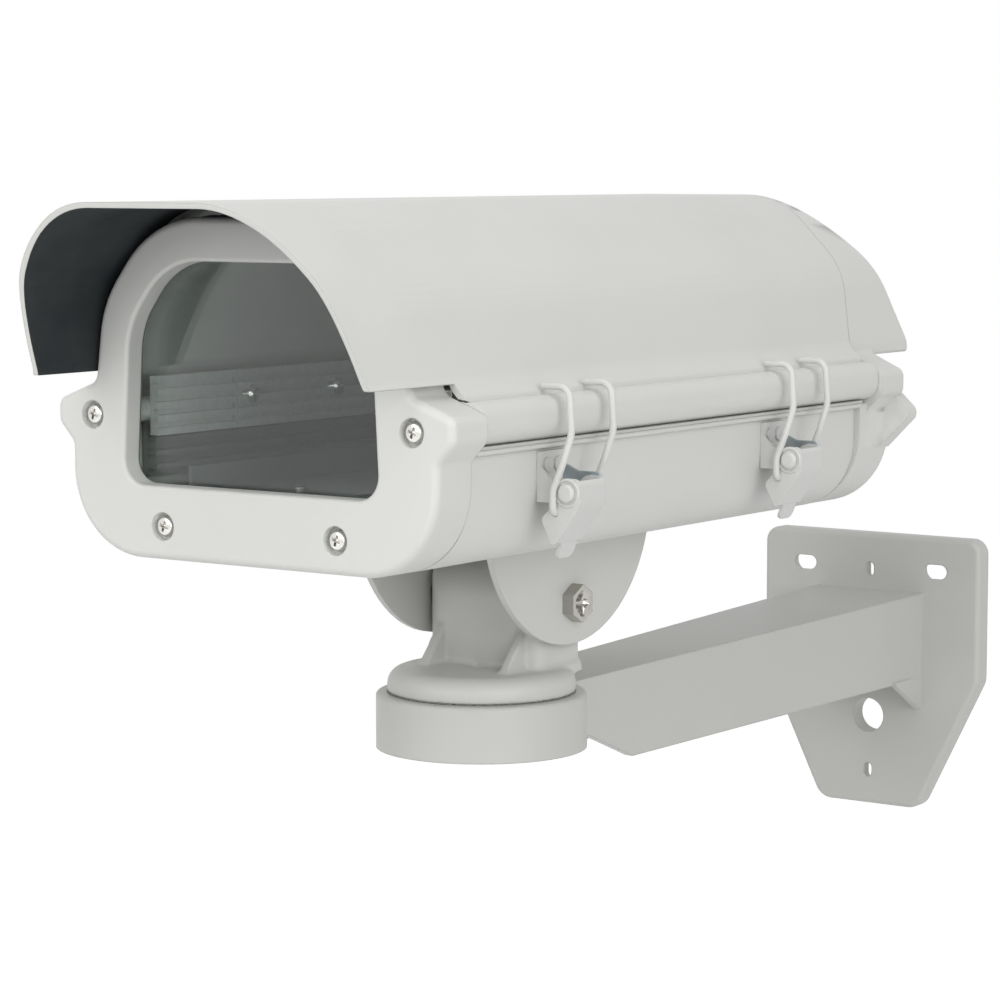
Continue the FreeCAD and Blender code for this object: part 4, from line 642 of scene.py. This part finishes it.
def window_material():
    material, tree, shader, place = new_material("WindowGlass")
    shader.inputs["Base Color"].default_value = (0.90, 0.95, 0.93, 1)
    shader.inputs["Roughness"].default_value = 0.02
    shader.inputs["IOR"].default_value = 1.5
    shader.inputs["Transmission Weight"].default_value = 1.0
    clear = tree.nodes.new("ShaderNodeBsdfTransparent")
    clear.inputs["Color"].default_value = (0.90, 0.95, 0.93, 1)
    path = tree.nodes.new("ShaderNodeLightPath")
    mix = tree.nodes.new("ShaderNodeMixShader")
    tree.links.new(path.outputs["Is Shadow Ray"], mix.inputs[0])
    tree.links.new(shader.outputs[0], mix.inputs[1])
    tree.links.new(clear.outputs[0], mix.inputs[2])
    tree.links.new(mix.outputs[0], tree.nodes["Material Output"].inputs["Surface"])
    return material


dressed("front_glass", "window_pane", "housing", "glass", window_material())


# Cover screws
# Pan heads with a cross recess, turned and plated, four in each cover.

def copies_tree():
    """The given form, turned and set at each corner of another mesh."""
    tree, given, out = place_tree("PlacedCopies", [("Places", "NodeSocketObject"), ("Turn", "NodeSocketRotation"),
                                                   ("Finish", "NodeSocketMaterial")])
    places = tree.nodes.new("GeometryNodeObjectInfo")
    copies = tree.nodes.new("GeometryNodeInstanceOnPoints")
    tree.links.new(given.outputs["Places"], places.inputs["Object"])
    tree.links.new(places.outputs["Geometry"], copies.inputs["Points"])
    tree.links.new(given.outputs["Geometry"], copies.inputs["Instance"])
    tree.links.new(given.outputs["Turn"], copies.inputs["Rotation"])
    close_tree(tree, given, out, copies.outputs["Instances"])
    return tree


placed_copies = copies_tree()


def set_at(form, places, turn, material):
    """Copies of a form made along Z, set at places with one turn."""
    marks = bpy.data.meshes.new("marks")
    marks.from_pydata([tuple(place) for place in places], [], [])
    guide = worked(marks)
    mesh = grown(form, placed_copies, Places=guide, Turn=turn, Finish=material)
    bpy.data.objects.remove(guide)
    return mesh


def pan_screw(head, height, shank, length):
    """Pan-head screw along Z: the seat is at 0 and the head above it."""
    dome = [(head * part, height * rise) for part, rise in ((1.0, 0.0), (1.0, 0.42), (0.93, 0.68), (0.78, 0.88),
                                                            (0.55, 0.97), (0.30, 1.0))]
    profile = [(0, height)] + list(reversed(dome)) + [(shank, 0), (shank, -length), (0, -length)]
    return carved(turned(profile, 40), cross_cutter(head * 1.15, head * 0.26, height * 0.62, height))


upper_place = (72.4 * MM, 146.3 * MM)
lower_place = (39.3 * MM, 107.2 * MM)
screw_places = [(side * x, z) for x, z in (upper_place, lower_place) for side in (-1, 1)]
cover_screw = pan_screw(3.9 * MM, 3.0 * MM, 2.0 * MM, 24.0 * MM)
for node, turn, seat in (("front_screws", (pi / 2, 0.35, 0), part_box("front_screws")[0].y + 3.0 * MM),
                         ("rear_screws", (-pi / 2, 0.35, 0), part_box("rear_screws")[1].y - 3.0 * MM)):
    heads = set_at(cover_screw.copy(), [(x, seat, z) for x, z in screw_places], turn, bright_zinc)
    finished(node + "_plated", heads, "housing", "plated_steel", node)


# Inside
# The rails and tray are coloured dark grey in place of their mill finish: painted shade of the dim inside of the
# housing. The shell's own ports are finned on the side that faces the camera, and bright screws clamp the fittings
# to them.

mill_finish = plated("MillFinish", (0.80, 0.81, 0.80), 0.45, 0.3)
# Dark grey on the rails and tray is painted shade of the housing's dim inside.
interior_shade_grey = coated("InteriorShadeGrey", (0.20, 0.205, 0.195), roughness=0.6, clouding=0.0, depth=0.000005)
for node in ("rail_hinge_side", "rail_latch_side", "camera_tray"):
    dressed(node, node + "_part", "housing", "aluminium", interior_shade_grey)


def drawn(points, start, end):
    """Form with one section, given in X and Z, along Y."""
    build = bmesh.new()
    ends = [[build.verts.new((x, y, z)) for x, z in points] for y in (start, end)]
    for index in range(len(points)):
        after = (index + 1) % len(points)
        build.faces.new((ends[0][index], ends[0][after], ends[1][after], ends[1][index]))
    build.faces.new(ends[0])
    build.faces.new(list(reversed(ends[1])))
    bmesh.ops.recalc_face_normals(build, faces=build.faces)
    return closed_mesh(bpy.data.meshes.new("drawn"), build)


fin_foot, fin_tip, fin_root = 68.5 * MM, 64.4 * MM, 66.6 * MM
fin_low, fin_high, fin_count = 137.0 * MM, 159.0 * MM, 5
fin_starts = ((-439.0 * MM, -393.5 * MM), (-392.5 * MM, -200.0 * MM))
fin_pitch = (fin_high - fin_low) / (fin_count - 0.45)
for side, label in ((-1, "hinge_side"), (1, "latch_side")):
    outline = [(side * fin_foot, fin_low), (side * fin_foot, fin_high)]
    for index in reversed(range(fin_count)):
        level = fin_low + index * fin_pitch
        outline += [(side * fin_tip, level + 0.55 * fin_pitch), (side * fin_tip, level)]
        if index:
            outline += [(side * fin_root, level), (side * fin_root, level - 0.45 * fin_pitch)]
    strips = joined(*[drawn(outline, start, end) for start, end in fin_starts])
    strips.materials.append(mill_finish)
    finished("port_fins_" + label, strips, "housing", "aluminium")
    clamp_screw = pan_screw(3.6 * MM, 2.6 * MM, 1.8 * MM, 4.0 * MM)
    clamp_places = [(side * fin_tip, y * MM, 149.5 * MM) for y in (-385.0, -332.0, -279.0)]
    clamps = set_at(clamp_screw, clamp_places, (0, -side * pi / 2, 0.4), bright_zinc)
    finished("port_screws_" + label, clamps, "housing", "plated_steel")


# Cable glands
# Black nylon bodies, ribbed caps and locknuts.

black_plastic = moulded("BlackPlastic", (0.03, 0.03, 0.03))
for node in ("gland_bodies", "gland_caps", "gland_locknuts"):
    dressed(node, node + "_nylon", "housing", "plastic", black_plastic)
caps_low, caps_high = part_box("gland_caps")
cap_radius = (caps_high.z - caps_low.z) / 2
cap_length = caps_high.y - caps_low.y
ribs = []
for x in (caps_low.x + cap_radius, caps_high.x - cap_radius):
    ring = grown(bpy.data.meshes.new("ribs"), teeth, Count=26, Radius=cap_radius,
                 Tooth=(0.7 * MM, 1.1 * MM, cap_length * 0.82), Finish=black_plastic)
    ring.transform(facing((0, 1, 0), Vector((x, (caps_low.y + caps_high.y) / 2, caps_low.z + cap_radius))))
    ribs.append(ring)
cap_ribs = joined(*ribs)
cap_ribs.materials.append(black_plastic)
finished("gland_cap_ribs", cap_ribs, "housing", "plastic")


# Latches
# Sheet levers and wire bails coated like the housing, on zinc-plated bases. A bail's wire is sliced at the pivot's
# level, where the spring wire flexes, and its hooks sit over the bead.

latch_coat = coated("LatchCoat", (0.64, 0.645, 0.625), peel=0.6, edge=0.0004)
blue_zinc = plated("BlueZinc", (0.52, 0.58, 0.62), 0.4)
base_sheet = 83.6 * MM
toe_top = 98.8 * MM
toe_round = 2.6 * MM
eye_ring = 4.7 * MM
eye_wire = 0.55 * MM
bend_half = 3.5 * MM
for place in ("front", "rear"):
    lever_mesh, lever_build = loose_copy("latch_lever_" + place)
    flattened(lever_build)
    toe = [edge for edge in lever_build.edges
           if max(vert.co.z for vert in edge.verts) < toe_top and edge.calc_length() < 2.2 * MM]
    bmesh.ops.bevel(lever_build, geom=toe, offset=toe_round, segments=5, profile=0.5, affect="EDGES",
                    clamp_overlap=True)
    lever_mesh = closed_mesh(lever_mesh, lever_build)
    lever_mesh.materials.append(latch_coat)
    finished("latch_lever_%s_sheet" % place, lever_mesh, "lever_" + place, "latch_paint", "latch_lever_" + place)
    pivot_low, pivot_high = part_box("latch_pivot_" + place)
    lever_low, lever_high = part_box("latch_lever_" + place)
    pivot = (pivot_low + pivot_high) / 2
    ring_profile = quarter((eye_ring, 0), eye_wire, 0, 360, 12)
    rings = []
    for y in (lever_low.y, lever_high.y):
        ring = turned(ring_profile[:-1] + ring_profile[:1], 40)
        ring.transform(facing((0, 1, 0), Vector((pivot.x, y, pivot.z))))
        rings.append(ring)
    ring_mesh = joined(*rings)
    ring_mesh.materials.append(latch_coat)
    finished("latch_eye_rings_" + place, ring_mesh, "lever_" + place, "latch_paint")
    bail_mesh, bail_build = loose_copy("bail_" + place)
    flattened(bail_build)
    sliced(bail_build, [pivot.z + bend_half * step / 4 for step in range(-4, 5)])
    bail_mesh = closed_mesh(bail_mesh, bail_build)
    bail_mesh.materials.append(latch_coat)
    bail = bpy.data.objects.new("bail_%s_wire" % place, smoothed(bail_mesh, 28.0))
    bpy.context.scene.collection.objects.link(bail)
    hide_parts("bail_" + place)
    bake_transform(bail)
    dressed("latch_pivot_" + place, "latch_pivot_%s_rivet" % place, "housing", "latch_paint", latch_coat)
    base_mesh = merged("latch_base_" + place)
    base_mesh.materials.append(latch_coat)
    base_mesh.materials.append(blue_zinc)
    for face in base_mesh.polygons:
        face.material_index = 1 if face.center.x > base_sheet and face.center.y > pivot.y else 0
    finished("latch_base_%s_plate" % place, base_mesh, "housing", "zinc", "latch_base_" + place)
dressed("latch_rivets", "latch_rivets_coated", "housing", "latch_paint", latch_coat)


# Studio
# Pale floor, white surroundings and broad soft lamps.

floor_level = -0.30
floor_reach = 8.0


def looked_at(tree):
    """1 where the camera sees a surface, in a reflection or through glass too."""
    path = tree.nodes.new("ShaderNodeLightPath")
    seen = path.outputs["Is Camera Ray"]
    for kind in ("Is Glossy Ray", "Is Transmission Ray"):
        either = tree.nodes.new("ShaderNodeMath")
        either.operation = "MAXIMUM"
        tree.links.new(seen, either.inputs[0])
        tree.links.new(path.outputs[kind], either.inputs[1])
        seen = either.outputs[0]
    return seen


def floor_material():
    material, tree, shader, place = new_material("PaleFloor")
    shader.inputs["Base Color"].default_value = (0.8, 0.8, 0.8, 1)
    shader.inputs["Roughness"].default_value = 0.9
    glow = add_node(tree, "ShaderNodeEmission", Color=(1, 1, 1, 1), Strength=0.82)
    shade = add_node(tree, "ShaderNodeBsdfDiffuse", Color=(0.42, 0.42, 0.42, 1))
    seen = tree.nodes.new("ShaderNodeAddShader")
    tree.links.new(glow.outputs[0], seen.inputs[0])
    tree.links.new(shade.outputs[0], seen.inputs[1])
    mix = tree.nodes.new("ShaderNodeMixShader")
    tree.links.new(looked_at(tree), mix.inputs[0])
    tree.links.new(shader.outputs[0], mix.inputs[1])
    tree.links.new(seen.outputs[0], mix.inputs[2])
    tree.links.new(mix.outputs[0], tree.nodes["Material Output"].inputs["Surface"])
    return material


floor_mesh = bpy.data.meshes.new("StudioFloor")
floor_mesh.from_pydata([(x, y, floor_level) for x, y in ((-floor_reach, -floor_reach), (floor_reach, -floor_reach),
                                                         (floor_reach, floor_reach), (-floor_reach, floor_reach))],
                       [], [(0, 1, 2, 3)])
floor_mesh.materials.append(floor_material())
floor = bpy.data.objects.new("StudioFloor", floor_mesh)
bpy.context.scene.collection.objects.link(floor)

sky = bpy.data.worlds.new("Studio")
bpy.context.scene.world = sky
sky.use_nodes = True
sky_tree = sky.node_tree
around = sky_tree.nodes["Background"]
around.inputs["Strength"].default_value = 0.42
seen_white = sky_tree.nodes.new("ShaderNodeBackground")
seen_white.inputs["Color"].default_value = (1, 1, 1, 1)
around.inputs["Color"].default_value = (1, 1, 1, 1)
sky_mix = sky_tree.nodes.new("ShaderNodeMixShader")
sky_tree.links.new(looked_at(sky_tree), sky_mix.inputs[0])
sky_tree.links.new(around.outputs[0], sky_mix.inputs[1])
sky_tree.links.new(seen_white.outputs[0], sky_mix.inputs[2])
sky_tree.links.new(sky_mix.outputs[0], sky_tree.nodes["World Output"].inputs["Surface"])


def soft_lamp(name, place, aim, power, width):
    """Square area lamp turned towards a point."""
    data = bpy.data.lights.new(name, "AREA")
    data.shape = "SQUARE"
    data.size = width
    data.energy = power
    lamp = bpy.data.objects.new(name, data)
    bpy.context.scene.collection.objects.link(lamp)
    lamp.location = place
    lamp.rotation_euler = (Vector(aim) - Vector(place)).to_track_quat("-Z", "Y").to_euler()


middle = (0, -0.3, 0.1)
soft_lamp("TopLamp", (0.3, -1.1, 1.7), middle, 8, 1.5)
soft_lamp("LatchSideLamp", (1.8, -1.2, 0.7), middle, 17, 1.3)
soft_lamp("FrontLamp", (-0.3, -1.9, 0.9), middle, 13, 1.3)

bpy.context.scene.view_settings.view_transform = "Standard"
